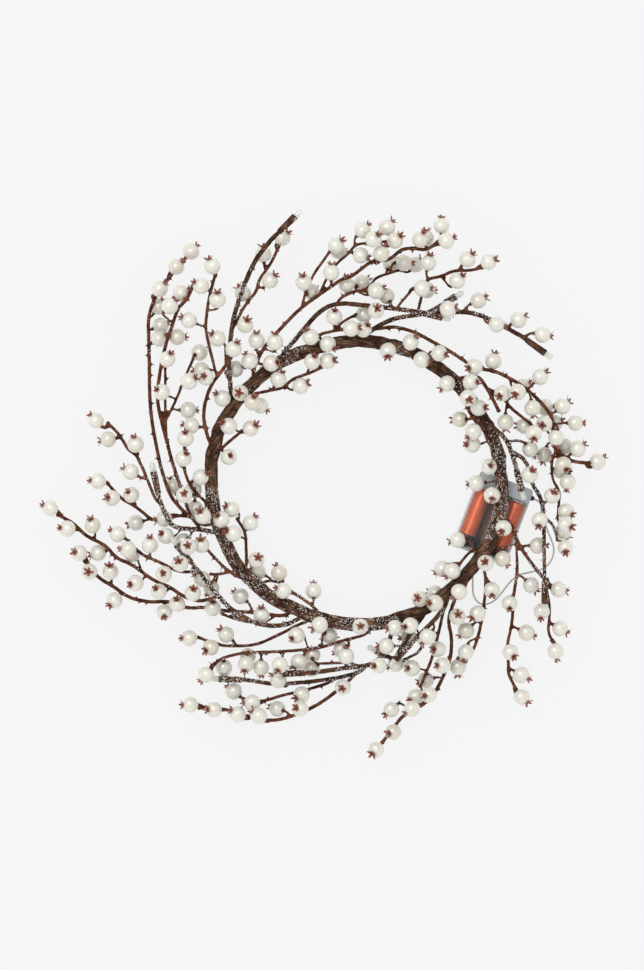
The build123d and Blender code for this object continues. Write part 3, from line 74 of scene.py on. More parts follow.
# Floor: a sheet of matt white paper. It looks as pale as the photograph's ground and keeps a faint shadow.
# Through clear plastic it shows its full shadow, which lets the battery box stand out from it.
FLOOR_REACH = 6.0
FLOOR_DROP = 0.3 * MM
FLOOR_CORNERS = [(-1, -1), (1, -1), (1, 1), (-1, 1)]
PAPER_WHITE = "#f6f6f6"
PAPER_GLOW = 0.9


def linear(text):
    """A colour such as #a0b1c2 as the linear values that shaders use."""
    values = [int(text[start:start + 2], 16) / 255 for start in (1, 3, 5)]
    return [value / 12.92 if value < 0.04045 else ((value + 0.055) / 1.055) ** 2.4 for value in values] + [1]


def empty_material(name):
    """A material without any nodes yet."""
    material = bpy.data.materials.new(name)
    material.use_nodes = True
    material.node_tree.nodes.clear()
    return material


def add(material, kind, inputs, out=0, **settings):
    """Adds a node with its settings and links, and gives the output that is asked for."""
    made = material.node_tree.nodes.new("ShaderNode" + kind)
    for key, value in settings.items():
        setattr(made, key, value)
    for key, value in inputs.items():
        if isinstance(value, bpy.types.NodeSocket):
            material.node_tree.links.new(value, made.inputs[key])
        else:
            made.inputs[key].default_value = value
    return made.outputs[out] if made.outputs else None


def dress(thing, material):
    """Gives an object one material in place of those it has."""
    thing.data.materials.clear()
    thing.data.materials.append(material)


def mesh_from(name, points, faces, smooth=True):
    """A mesh of points and faces, with soft or with sharp edges."""
    mesh = bpy.data.meshes.new(name)
    mesh.from_pydata(points, [], faces)
    if smooth:
        mesh.shade_smooth()
    return mesh


paper = empty_material("matt_paper")
paper_shade = add(paper, "BsdfDiffuse", {"Color": linear(PAPER_WHITE)})
paper_glow = add(paper, "Emission", {"Color": linear(PAPER_WHITE)})
seen = add(paper, "LightPath", {}, "Is Camera Ray")
for ray in ("Is Glossy Ray", "Is Transmission Ray"):
    seen = add(paper, "Math", {0: seen, 1: add(paper, "LightPath", {}, ray)}, operation="MAXIMUM")
layers = add(paper, "LightPath", {}, "Transparent Depth")
not_through = add(paper, "Math", {0: layers, 1: 0.5}, operation="LESS_THAN")
seen = add(paper, "Math", {0: seen, 1: not_through}, operation="MULTIPLY")
glow_share = add(paper, "Math", {0: seen, 1: PAPER_GLOW}, operation="MULTIPLY")
paper_mix = add(paper, "MixShader", {0: glow_share, 1: paper_shade, 2: paper_glow})
add(paper, "OutputMaterial", {"Surface": paper_mix})
floor_points = [(x * FLOOR_REACH, y * FLOOR_REACH, -FLOOR_DROP) for x, y in FLOOR_CORNERS]
floor = show("floor", mesh_from("floor", floor_points, [(0, 1, 2, 3)]))
dress(floor, paper)

# Light: a white room with one soft key lamp, and a wide softbox that only adds a gleam to glossy things.
# Each lamp has its place and size in metres and its power in watts, and is aimed at the middle of the ring.
ROOM_STRENGTH = 0.95
STUDIO_LAMPS = [("key_light", (-0.8, 0.9, 1.9), 0.5, 6), ("gleam_light", (-0.5, 0.7, 2.0), 1.3, 28)]
world = bpy.data.worlds.new("studio")
bpy.context.scene.world = world
world.use_nodes = True
world.node_tree.nodes["Background"].inputs["Color"].default_value = linear("#ffffff")
world.node_tree.nodes["Background"].inputs["Strength"].default_value = ROOM_STRENGTH
for light_name, light_place, light_size, light_power in STUDIO_LAMPS:
    light = bpy.data.lights.new(light_name, "AREA")
    light.size = light_size
    light.energy = light_power
    lamp_stand = show(light_name, light)
    lamp_stand.location = light_place
    lamp_stand.rotation_euler = (-Vector(light_place)).to_track_quat("-Z", "Y").to_euler()
    lamp_stand.visible_diffuse = light_name != "gleam_light"

# Hoop: a steel wire in a thick wrap of brown moulded bark, bent by hand, so it strays from a true circle.
# The bark is shaped as twigs twisted round each other, with a rough grain and knots where shoots were cut.
UP = Vector((0, 0, 1))
RING_RADIUS = 123 * MM
RING_THICKNESS = 11.6 * MM
RING_HEIGHT = 24.9 * MM
# How far the bent hoop strays from a true circle in millimetres, every 15 degrees from +X towards +Y
RING_WAVES = [2, 0.5, -1, -1.5, -2, -0.5, -1.5, -2, -1, 0, 2, 3,
              0.5, 0.5, 0.5, 0, -2.5, -3, -2, -1, -0.5, -0.5, 1.5, 3.5]
HOOP_STEPS = 720
HOOP_SIDES = 60
# Twisted strands: how many, how often they go round, how deep the seams are, and how the strands stray
STRANDS = 3
STRAND_TURNS = 4
STRAND_DEPTH = 2.6 * MM
STRAND_ROUNDING = 0.55
STRAND_STRAY = 1.6
STRAND_STRAY_STEPS = 18
# Grooves along the bark and its grain: depths, counts round its girth, and noise steps to the metre
BARK_SWELL = 0.2 * MM
GROOVE_DEPTH = 0.14 * MM
GROOVES = 5
FINE_GROOVES = 11
FINE_GROOVE_SHARE = 0.6
FINE_GROOVE_SWIRL = 1.5
SWIRL = 4.4
SWIRL_STEPS = 35
FINE_SWIRL = 2.8
FINE_SWIRL_STEPS = 90
GRAIN_DEPTH = 0.45 * MM
GRAIN_STEPS = 160
FINE_GRAIN_SHARE = 0.5
FINE_GRAIN_STEPS = 420
FIBRE_STRETCH = 0.12
# Knots: their heights in millimetres, and their angles in radians from the hoop's outer side to its top
KNOT_COUNT = 26
KNOT_REACH = 12 * MM
KNOT_LENGTH = 3.5 * MM
KNOT_SPREAD = 0.6
KNOT_ANGLES = (-1.2, 1.8)
KNOT_HEIGHTS = (0.5, 1.1)
chance = random.Random(5)


def painted_bark(name, dark, light, fibre_run=""):
    """Painted plastic moulded with a bark grain: matt brown in soft patches, dark in its grain's cracks,
    with painted shade in its folds.
    """
    material = empty_material(name)
    where = add(material, "TexCoord", {}, "Object")
    fibre = add(material, "Attribute", {}, "Vector", attribute_name=fibre_run) if fibre_run else where
    grain = add(material, "TexNoise", {
        "Vector": fibre, "Scale": 1 / (1.3 * MM), "Detail": 5, "Roughness": 0.65})
    patches = add(material, "TexNoise", {"Vector": where, "Scale": 1 / (7 * MM), "Detail": 3})
    patches = add(material, "MapRange", {"Value": patches, "From Min": 0.38, "From Max": 0.62})
    brown = add(material, "Mix", {0: patches, 6: linear(dark), 7: linear(light)}, 2, data_type="RGBA")
    cracks_and_fold_shade = add(material, "MapRange", {"Value": grain, "From Min": 0.58, "From Max": 0.42, "To Max": 0.85})
    # Painted shade: folds and seams that the mesh's pointiness finds are darkened, as if shade fell in them.
    fold_shade = add(material, "NewGeometry", {}, "Pointiness")
    fold_shade = add(material, "MapRange", {"Value": fold_shade, "From Min": 0.495, "From Max": 0.44, "To Max": 0.85})
    cracks_and_fold_shade = add(material, "Math", {0: cracks_and_fold_shade, 1: fold_shade}, operation="MAXIMUM")
    brown = add(material, "Mix", {0: cracks_and_fold_shade, 6: brown, 7: linear("#1f1009")}, 2, data_type="RGBA")
    rough = add(material, "MapRange", {"Value": grain, "To Min": 0.6, "To Max": 0.85})
    relief = add(material, "Bump", {"Height": grain, "Distance": 0.5 * MM, "Strength": 0.8})
    shade = add(material, "BsdfPrincipled", {
        "Base Color": brown, "Roughness": rough, "Specular IOR Level": 0.12, "Normal": relief})
    add(material, "OutputMaterial", {"Surface": shade})
    return material


def piece(name, data, material, slot, *replaced):
    """A new piece that rides on the ring itself."""
    thing = show(name, data)
    dress(thing, material)
    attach(thing, "root")
    if replaced:
        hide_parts(*replaced)
    return thing


def hoop_middle(turn):
    """A point of the bent hoop's centre line, where a whole turn runs from 0 to 1."""
    count = len(RING_WAVES)
    corner = math.floor(turn * count + 0.5)
    share = turn * count + 0.5 - corner
    point = RING_HEIGHT * UP
    weights = [0.5 * (1 - share) ** 2, 0.5 + share * (1 - share), 0.5 * share ** 2]
    for offset, weight in zip((-1, 0, 1), weights):
        number = (corner + offset) % count
        angle = math.tau * number / count
        reach = RING_RADIUS + RING_WAVES[number] * MM
        point = point + weight * reach * Vector((math.cos(angle), math.sin(angle), 0))
    return point


def bark_relief(middle, out, angle, turn, twist, knots):
    """How far the bark stands over the plain tube at one place."""
    drift = SWIRL * noise.noise(middle * SWIRL_STEPS)
    drift += FINE_SWIRL * noise.noise(middle * FINE_SWIRL_STEPS + UP)
    fine_groove = math.sin(FINE_GROOVES * angle - FINE_GROOVE_SWIRL * drift)
    groove = math.sin(GROOVES * angle + drift) + FINE_GROOVE_SHARE * fine_groove
    skin = middle + out * RING_THICKNESS / 2
    rough = noise.noise(skin * GRAIN_STEPS) + FINE_GRAIN_SHARE * noise.noise(skin * FINE_GRAIN_STEPS)
    strand = abs(math.cos(STRANDS / 2 * (angle + twist))) ** STRAND_ROUNDING
    height = BARK_SWELL + STRAND_DEPTH * (strand - 1) + GROOVE_DEPTH * groove + GRAIN_DEPTH * rough
    for knot_turn, knot_angle, knot_height in knots:
        along = abs((turn - knot_turn + 0.5) % 1 - 0.5) * math.tau * RING_RADIUS
        if along < KNOT_REACH:
            around = (angle - knot_angle + math.pi) % math.tau - math.pi
            height += knot_height * math.exp(-(along / KNOT_LENGTH) ** 2 - (around / KNOT_SPREAD) ** 2)
    return height


knots = [(chance.random(), chance.uniform(*KNOT_ANGLES), chance.uniform(*KNOT_HEIGHTS) * MM)
         for _ in range(KNOT_COUNT)]
hoop_points = []
hoop_faces = []
hoop_fibres = []
for step in range(HOOP_STEPS):
    turn = step / HOOP_STEPS
    middle = hoop_middle(turn)
    ahead = (hoop_middle(turn + 0.5 / HOOP_STEPS) - hoop_middle(turn - 0.5 / HOOP_STEPS)).normalized()
    twist = math.tau * STRAND_TURNS * turn + STRAND_STRAY * noise.noise(middle * STRAND_STRAY_STEPS)
    row = step * HOOP_SIDES
    next_row = (step + 1) % HOOP_STEPS * HOOP_SIDES
    for side in range(HOOP_SIDES):
        angle = math.tau * side / HOOP_SIDES
        out = ahead.cross(UP) * math.cos(angle) + UP * math.sin(angle)
        radius = RING_THICKNESS / 2 + bark_relief(middle, out, angle, turn, twist, knots)
        hoop_points.append(middle + out * radius)
        hoop_fibres += [radius * math.cos(angle + twist), radius * math.sin(angle + twist),
                        turn * math.tau * RING_RADIUS * FIBRE_STRETCH]
        after = (side + 1) % HOOP_SIDES
        hoop_faces.append((row + side, next_row + side, next_row + after, row + after))
hoop_mesh = mesh_from("hoop", hoop_points, hoop_faces)
hoop_mesh.attributes.new("fibre_run", "FLOAT_VECTOR", "POINT").data.foreach_set("vector", hoop_fibres)
hoop_bark = painted_bark("painted_hoop_bark", "#432616", "#86644d", "fibre_run")
twigs = {"ring": piece("hoop_bark", hoop_mesh, hoop_bark, "bark", "ring")}

# Core: the steel wire that the hoop was bent from, with the lamps' wiring along it, moulded into the bark.
# It is bare drawn steel, dull and grey and unevenly rough from the die, and the bark hides it.
drawn_steel = empty_material("drawn_steel")
die_marks = add(drawn_steel, "TexNoise", {
    "Vector": add(drawn_steel, "TexCoord", {}, "Object"), "Scale": 1 / (0.5 * MM), "Detail": 4})
drawn_rough = add(drawn_steel, "MapRange", {"Value": die_marks, "To Min": 0.35, "To Max": 0.55})
add(drawn_steel, "OutputMaterial", {"Surface": add(drawn_steel, "BsdfPrincipled", {
    "Base Color": linear("#7d7a75"), "Metallic": 1.0, "Roughness": drawn_rough})})
dress(nodes["ring_core"], drawn_steel)

# Berry places: each berry is a ball that is glued on a stalk, with a crown pressed on its far end.
# Where they stand and which way they point is read from the CAD, as the twigs' thorns keep clear of them.
BERRY_RADIUS = 7.2 * MM
BERRY_SIZES = (0.95, 1.0)
berry_nodes = [name for name in nodes if name.startswith("berries_")]


def islands(mesh):
    """The points of each closed solid in a CAD mesh."""
    places = np.empty(len(mesh.vertices) * 3)
    mesh.vertices.foreach_get("co", places)
    welded, corner = np.unique(np.round(places.reshape(-1, 3) / MM, 3), axis=0, return_inverse=True)
    edges = np.empty(len(mesh.edges) * 2, np.int64)
    mesh.edges.foreach_get("vertices", edges)
    first, second = corner.reshape(-1)[edges.reshape(-1, 2)].T
    label = np.arange(len(welded))
    settled = False
    while not settled:
        low = np.minimum(label[first], label[second])
        renewed = label.copy()
        np.minimum.at(renewed, first, low)
        np.minimum.at(renewed, second, low)
        renewed = renewed[renewed]
        settled = np.array_equal(renewed, label)
        label = renewed
    order = np.argsort(label, kind="stable")
    return [welded[group] * MM for group in np.split(order, np.flatnonzero(np.diff(label[order])) + 1)]


def upright(direction):
    """A turn that takes +Z to a direction."""
    return Vector(direction).to_track_quat("Z", "Y").to_matrix()


berries = []
for sector in berry_nodes:
    centres = [Vector((points.min(axis=0) + points.max(axis=0)) / 2)
               for points in islands(nodes[sector].data)]
    for crown in islands(nodes[sector.replace("berries", "calyxes")].data):
        middle = Vector(crown.mean(axis=0))
        centre = min(centres, key=lambda place: (place - middle).length)
        axis = (middle - centre).normalized()
        flat = [upright(axis).inverted() @ (Vector(point) - middle) for point in crown]
        point = max(flat, key=lambda place: math.hypot(place.x, place.y))
        berries.append((sector, centre, axis, math.atan2(point.y, point.x), chance.uniform(*BERRY_SIZES)))
berry_tree = KDTree(len(berries))
for number, berry in enumerate(berries):
    berry_tree.insert(berry[1], number)
berry_tree.balance()

# Lamp branches and berry sprays: wire in a moulded wrap, thick and dark where a lamp's wires run inside,
# thin and redder towards the berries. Forks are webbed, and short thorns are left where shoots were cut.
THORN_ROOT = 0.85 * MM
THORN_TIP = 0.28 * MM
THORN_SIDES = 6
THORN_LENGTHS = (2.2, 4.2)
THORN_LEAN = 0.6
THORN_MIDDLE = 0.4
THORN_ROOM = 1.6 * MM
TWIG_ROOM = 2.5 * MM
WELD = 0.003 * MM
SKIN_LUMP = 3.5 * MM
# Web at the forks, finest detail, swell of the skin, and the area to each thorn
BRANCH_SKIN = (1.1 * MM, 0.6 * MM, 0.7 * MM, 330 * MM ** 2)
STEM_SKIN = (0.9 * MM, 0.55 * MM, 0.45 * MM, 120 * MM ** 2)
SLEEVE_SKIN = (0.2 * MM, 0.5 * MM, 0.3 * MM, 0)
bark_nodes = [name for name in nodes if name.endswith("_lamp_branch")]
stem_nodes = [name for name in nodes if name.endswith(("spray", "sprays")) or name == "ring_stalks"]
twig_points = [(name, vertex.co) for name in bark_nodes + stem_nodes + ["ring"]
               for vertex in nodes[name].data.vertices]
twig_tree = KDTree(len(twig_points))
for number, (name, place) in enumerate(twig_points):
    twig_tree.insert(place, number)
twig_tree.balance()


def add_thorns(shape, own, spacing):
    """Thorns on a twig, one on each such area, clear of berries and of other twigs."""
    faces = list(shape.faces)
    areas = [face.calc_area() for face in faces]
    for face in chance.choices(faces, areas, k=int(sum(areas) / spacing)):
        root = face.calc_center_median()
        lean = Vector((chance.uniform(-1, 1), chance.uniform(-1, 1), chance.uniform(-0.4, 0.8)))
        direction = (face.normal + THORN_LEAN * lean).normalized()
        length = chance.uniform(*THORN_LENGTHS) * MM
        tip = root + direction * length
        other_gap = twig_tree.find(tip, filter=lambda number: twig_points[number][0] != own)[2]
        if berry_tree.find(tip)[2] < BERRY_RADIUS + THORN_ROOM or min(other_gap, tip.z) < TWIG_ROOM:
            continue
        stand = Matrix.Translation(root + direction * length * THORN_MIDDLE) @ upright(direction).to_4x4()
        bmesh.ops.create_cone(shape, cap_ends=True, segments=THORN_SIDES, radius1=THORN_ROOT,
                              radius2=THORN_TIP, depth=length, matrix=stand)


def grown(name, web, voxel, swell, thorn_spacing):
    """A CAD twig's shape with thorns, webbed forks and an uneven skin."""
    shape = bmesh.new()
    shape.from_mesh(nodes[name].data)
    bmesh.ops.remove_doubles(shape, verts=shape.verts, dist=WELD)
    if thorn_spacing:
        add_thorns(shape, name, thorn_spacing)
    mesh = bpy.data.meshes.new(name + "_rough")
    shape.to_mesh(mesh)
    shape.free()
    helper = show(name + "_helper", mesh)
    clouds = bpy.data.textures.new(name + "_clouds", "CLOUDS")
    clouds.noise_scale = SKIN_LUMP
    for kind, settings in (
            ("DISPLACE", {"strength": web, "mid_level": 0}),
            ("REMESH", {"mode": "VOXEL", "voxel_size": voxel}),
            ("SMOOTH", {"factor": 0.5, "iterations": 3}),
            ("DISPLACE", {"strength": -web, "mid_level": 0}),
            ("SMOOTH", {"factor": 0.4, "iterations": 1}),
            ("DISPLACE", {"strength": swell, "mid_level": 0.35, "texture": clouds,
                          "texture_coords": "LOCAL"})):
        modifier = helper.modifiers.new(kind, kind)
        for key, value in settings.items():
            setattr(modifier, key, value)
    result = bpy.data.meshes.new_from_object(helper.evaluated_get(bpy.context.evaluated_depsgraph_get()))
    bpy.data.objects.remove(helper)
    result.shade_smooth()
    return result


bark = painted_bark("painted_bark", "#422817", "#805b43")
stem = painted_bark("painted_stem", "#562b17", "#945b41")
for name in bark_nodes:
    twigs[name] = piece(name + "_bark", grown(name, *BRANCH_SKIN), bark, "bark", name)
for name in stem_nodes:
    twigs[name] = piece(name + "_bark", grown(name, *STEM_SKIN), stem, "stem", name)
sleeve_bark = grown("lamp_sleeves", *SLEEVE_SKIN)
twigs["lamp_sleeves"] = piece("lamp_sleeve_bark", sleeve_bark, bark, "bark", "lamp_sleeves")

# Frost: clear and silvered plastic grit that is glued on the upper side of the bark in patches.
# It glints, so each grain is a small crystal of its own, and grains lie in clumps.
CRYSTAL = [(1, 0, 0), (-1, 0, 0), (0, 1, 0), (0, -1, 0), (0, 0, 1), (0, 0, -1)]
CRYSTAL_FACES = [(0, 2, 4), (2, 1, 4), (1, 3, 4), (3, 0, 4), (2, 0, 5), (1, 2, 5), (3, 1, 5), (0, 3, 5)]
# Grains: sizes in millimetres, uneven corners, lowest slope that holds them, and noise steps to the metre
CRYSTAL_SIZES = (0.25, 0.72)
CRYSTAL_STRETCH = (0.6, 1.2)
UNDERSIDE = -0.1
PATCH_STEPS = 38
CLUMP_STEPS = 230
CLUMP_SHARE = 0.9
# Places that are frosted most, as x, y and reach in millimetres
FROSTED = [(122, -6, 42), (133, 20, 30), (161, -65, 36), (-77, -91, 45), (-141, -65, 40), (8, -125, 36),
           (3, -152, 26), (-82, -161, 30), (-126, -14, 26), (-169, 2, 22), (71, 152, 26), (-103, 147, 30),
           (-48, 113, 28), (97, 83, 22)]
FROSTED_GAIN = 0.8
grit = empty_material("silvered_grit")
grit_tone = add(grit, "TexNoise", {"Vector": add(grit, "TexCoord", {}, "Object"), "Scale": 1 / (1.5 * MM)})
grit_tone = add(grit, "MapRange", {"Value": grit_tone, "From Min": 0.35, "From Max": 0.7})
grit_colour = add(grit, "Mix", {
    0: grit_tone, 6: linear("#e6e4e0"), 7: linear("#ffffff")}, 2, data_type="RGBA")
add(grit, "OutputMaterial", {"Surface": add(grit, "BsdfPrincipled", {
    "Base Color": grit_colour, "Roughness": 0.25})})


def frost(name, carriers, per_area, bare):
    """Grains where a noise over the carriers is above a level, and more in the frosted places."""
    points = []
    faces = []
    for carrier in carriers:
        sides = twigs[carrier].data.polygons
        areas = [side.area if side.normal.z > UNDERSIDE else 0 for side in sides]
        for side in chance.choices(sides, areas, k=int(sum(areas) * per_area)):
            spot = side.center
            level = noise.noise(spot * PATCH_STEPS) + CLUMP_SHARE * noise.noise(spot * CLUMP_STEPS)
            for x, y, reach in FROSTED:
                away = (spot.x / MM - x) ** 2 + (spot.y / MM - y) ** 2
                level += FROSTED_GAIN * math.exp(-away / reach ** 2)
            if level < bare:
                continue
            size = chance.uniform(*CRYSTAL_SIZES) * MM
            turn = upright((chance.uniform(-1, 1), chance.uniform(-1, 1), chance.uniform(-1, 1)))
            start = len(points)
            points += [spot + turn @ Vector(corner) * size * chance.uniform(*CRYSTAL_STRETCH)
                       for corner in CRYSTAL]
            faces += [tuple(start + corner for corner in face) for face in CRYSTAL_FACES]
    return piece(name, mesh_from(name, points, faces, smooth=False), grit, "bark")


frost("hoop_frost", ["ring"], per_area=0.38 / MM ** 2, bare=0.6)
frost("lamp_branch_frost", bark_nodes + ["lamp_sleeves"], per_area=0.45 / MM ** 2, bare=0.3)
frost("stem_frost", stem_nodes, per_area=0.2 / MM ** 2, bare=0.6)

# Berry skins: a foam ball dipped in milky, glossy lacquer that light sinks into, with a sheen at its rim.
# It is sunk a little at crown and stalk, and no two are quite the same size or tone.
BERRY_BANDS = 18
BERRY_SIDES = 26
CROWN_DIP = 0.5 * MM
CROWN_DIP_SPREAD = 0.3
STALK_DIP = 0.45 * MM
STALK_DIP_SPREAD = 0.25
BERRY_LOBES = 3
LOBE_SWELL = 0.012
lacquer = empty_material("cream_lacquer")
lacquer_where = add(lacquer, "TexCoord", {}, "Object")
own_tone = add(lacquer, "NewGeometry", {}, "Random Per Island")
beige = add(lacquer, "MapRange", {"Value": own_tone, "From Min": 0.65, "From Max": 1.0})
cream = add(lacquer, "Mix", {0: beige, 6: linear("#e5e3da"), 7: linear("#dad4c4")}, 2, data_type="RGBA")
clouding = add(lacquer, "TexNoise", {"Vector": lacquer_where, "Scale": 1 / (4 * MM), "Detail": 4})
clouding = add(lacquer, "MapRange", {"Value": clouding, "From Min": 0.62, "From Max": 0.35, "To Max": 0.5})
cream = add(lacquer, "Mix", {0: clouding, 6: cream, 7: linear("#d9d5c8")}, 2, data_type="RGBA")
pores = add(lacquer, "TexNoise", {"Vector": lacquer_where, "Scale": 1 / (0.9 * MM), "Detail": 2})
shine = add(lacquer, "MapRange", {"Value": pores, "To Min": 0.18, "To Max": 0.34})
dimples = add(lacquer, "Bump", {"Height": pores, "Distance": 0.12 * MM, "Strength": 0.35})
add(lacquer, "OutputMaterial", {"Surface": add(lacquer, "BsdfPrincipled", {
    "Base Color": cream, "Roughness": shine, "Normal": dimples, "Subsurface Weight": 0.8,
    "Subsurface Radius": (1, 0.93, 0.8), "Subsurface Scale": 5 * MM, "Coat Weight": 0.9,
    "Coat Roughness": 0.22, "Sheen Weight": 1.0, "Sheen Roughness": 0.3})})


def add_berry(points, faces, centre, axis, size):
    """A slightly lobed ball with a dip at each end of its axis."""
    start = len(points)
    lobes = [chance.uniform(0, math.tau) for _ in range(BERRY_LOBES)]
    for band in range(BERRY_BANDS + 1):
        polar = math.pi * band / BERRY_BANDS
        crown_dip = CROWN_DIP * math.exp(-(polar / CROWN_DIP_SPREAD) ** 2)
        stalk_dip = STALK_DIP * math.exp(-((math.pi - polar) / STALK_DIP_SPREAD) ** 2)
        radius = (BERRY_RADIUS - crown_dip - stalk_dip) * size
        for side in range(BERRY_SIDES if 0 < band < BERRY_BANDS else 1):
            around = math.tau * side / BERRY_SIDES
            swell = sum(math.sin(order * around + lobe) / order for order, lobe in enumerate(lobes, 2))
            wide = radius * math.sin(polar) * (1 + LOBE_SWELL * swell * math.sin(polar))
            local = Vector((wide * math.cos(around), wide * math.sin(around), radius * math.cos(polar)))
            points.append(centre + upright(axis) @ local)
    last = start + 1 + (BERRY_BANDS - 1) * BERRY_SIDES
    for side in range(BERRY_SIDES):
        after = (side + 1) % BERRY_SIDES
        faces.append((start, start + 1 + side, start + 1 + after))
        for low in range(start + 1, last - BERRY_SIDES, BERRY_SIDES):
            faces.append((low + side, low + BERRY_SIDES + side, low + BERRY_SIDES + after, low + after))
        faces.append((last - BERRY_SIDES + side, last, last - BERRY_SIDES + after))


for sector in berry_nodes:
    points = []
    faces = []
    for _, centre, axis, _, size in (berry for berry in berries if berry[0] == sector):
        add_berry(points, faces, centre, axis, size)
    piece(sector + "_skin", mesh_from(sector, points, faces), lacquer, "berry", sector)

# Crowns: five curled sepals of moulded red-brown plastic on a low collar, pressed on the end of each berry.
# The plastic is matt and veined, with a dusting of pale frost here and there, and crowns open more or less.
SEPALS = 5
CROWN_SEAT = 0.45 * MM
COLLAR_SIDES = 10
COLLAR = [(1.3 * MM, -0.35 * MM), (1.5 * MM, 0.1 * MM), (1.3 * MM, 0.6 * MM), (0.8 * MM, 0.45 * MM)]
# A sepal's rows from root to point: reach from the axis, height, half width, thickness, in millimetres
SEPAL_ROWS = [(0.75, 0.1, 1.1, 0.7), (2.05, 0.75, 1.2, 0.6), (3.2, 1.65, 1.0, 0.5), (3.9, 2.5, 0.6, 0.35)]
# A row's rim: shares of the half width and of half the thickness
SEPAL_RIM = [(-1, 0.4), (0, -0.6), (1, 0.4), (1, -0.6), (0, -1.6), (-1, -0.6)]
SEPAL_POINT = (0.4, 0.5)
SEPAL_BEND = 0.32
SEPAL_STRAY = 0.12
CROWN_OPENING = (0.72, 1.15)
SEPAL_OPENING = (0.85, 1.08)
SEPAL_TALLNESS = (0.75, 1.15)
sepal_plastic = empty_material("dyed_sepal_plastic")
sepal_where = add(sepal_plastic, "TexCoord", {}, "Object")
veins = add(sepal_plastic, "TexNoise", {"Vector": sepal_where, "Scale": 1 / (0.7 * MM), "Detail": 4})
vein_share = add(sepal_plastic, "MapRange", {"Value": veins, "From Min": 0.35, "From Max": 0.68})
sepal_brown = add(sepal_plastic, "Mix", {
    0: vein_share, 6: linear("#743828"), 7: linear("#b0705e")}, 2, data_type="RGBA")
dusting = add(sepal_plastic, "TexNoise", {"Vector": sepal_where, "Scale": 1 / (5 * MM), "Detail": 2})
dusting = add(sepal_plastic, "MapRange", {
    "Value": dusting, "From Min": 0.52, "From Max": 0.68, "To Max": 0.55})
sepal_brown = add(sepal_plastic, "Mix", {
    0: dusting, 6: sepal_brown, 7: linear("#c9b9b0")}, 2, data_type="RGBA")
sepal_relief = add(sepal_plastic, "Bump", {"Height": veins, "Distance": 0.2 * MM, "Strength": 0.6})
add(sepal_plastic, "OutputMaterial", {"Surface": add(sepal_plastic, "BsdfPrincipled", {
    "Base Color": sepal_brown, "Roughness": 0.65, "Specular IOR Level": 0.25, "Normal": sepal_relief})})


def add_sepal(points, faces, stand, foot, angle, open_share, tall):
    """One sepal, bent a little sideways and pinched to a point."""
    start = len(points)
    sides = len(SEPAL_RIM)
    bend = chance.uniform(-SEPAL_BEND, SEPAL_BEND)
    for number, (reach, height, half, thick) in enumerate(SEPAL_ROWS):
        swing = angle + bend * number / len(SEPAL_ROWS)
        out = Vector((math.cos(swing), math.sin(swing), 0))
        across = Vector((-out.y, out.x, 0))
        middle = (out * reach * open_share + UP * height * tall) * MM
        lift = (UP * reach - out * height).normalized() * thick * MM / 2
        for offset, share in SEPAL_RIM:
            points.append(foot + stand @ (middle + across * half * offset * MM + lift * share))
    points.append(foot + stand @ (middle + (out * SEPAL_POINT[0] + UP * SEPAL_POINT[1]) * MM))
    top = start + sides * (len(SEPAL_ROWS) - 1)
    faces.append(tuple(start + side for side in range(sides)))
    for row in range(start, top, sides):
        for side in range(sides):
            after = (side + 1) % sides
            faces.append((row + side, row + sides + side, row + sides + after, row + after))
    faces += [(top + side, top + sides, top + (side + 1) % sides) for side in range(sides)]


def add_turned(points, faces, stand, foot, profile, sides):
    """A shape turned about its own +Z from radii and heights, closed at both ends."""
    start = len(points)
    for radius, height in profile:
        for side in range(sides):
            angle = math.tau * side / sides
            local = Vector((radius * math.cos(angle), radius * math.sin(angle), height))
            points.append(foot + stand @ local)
    top = start + sides * (len(profile) - 1)
    for row in range(start, top, sides):
        for side in range(sides):
            after = (side + 1) % sides
            faces.append((row + side, row + after, row + sides + after, row + sides + side))
    faces.append(tuple(start + side for side in reversed(range(sides))))
    faces.append(tuple(top + side for side in range(sides)))


for sector in berry_nodes:
    points = []
    faces = []
    shades = []
    for _, centre, axis, roll, size in (berry for berry in berries if berry[0] == sector):
        foot = centre + axis * (BERRY_RADIUS * size - CROWN_SEAT)
        add_turned(points, faces, upright(axis), foot, COLLAR, COLLAR_SIDES)
        shades += [1] * (len(faces) - len(shades))
        open_share = chance.uniform(*CROWN_OPENING)
        for sepal in range(SEPALS):
            angle = roll + math.tau * sepal / SEPALS + chance.uniform(-SEPAL_STRAY, SEPAL_STRAY)
            opening = open_share * chance.uniform(*SEPAL_OPENING)
            tall = chance.uniform(*SEPAL_TALLNESS)
            add_sepal(points, faces, upright(axis), foot, angle, opening, tall)
        shades += [0] * (len(faces) - len(shades))
    crown_mesh = mesh_from(sector + "_crowns", points, faces)
    crowns = piece(sector.replace("berries", "crowns"), crown_mesh, sepal_plastic, "crown",
                   sector.replace("berries", "calyxes"))
    crowns.data.materials.append(stem)
    crowns.data.polygons.foreach_set("material_index", shades)

# Stalk cups: the moulded wrap of a stalk flares to a small cup where the stalk is glued into its berry.
# They are painted with the stem, so they look as matt and red-brown as it does.
CUP_SIDES = 10
CUP = [(0.95 * MM, -2.2 * MM), (1.15 * MM, -1.2 * MM), (1.7 * MM, -0.35 * MM), (2.0 * MM, 0.15 * MM),
       (1.2 * MM, 0.5 * MM)]
cup_points = []
cup_faces = []
for _, centre, axis, _, size in berries:
    add_turned(cup_points, cup_faces, upright(axis), centre - axis * BERRY_RADIUS * size, CUP, CUP_SIDES)
piece("stalk_cups", mesh_from("stalk_cups", cup_points, cup_faces), stem, "stem")

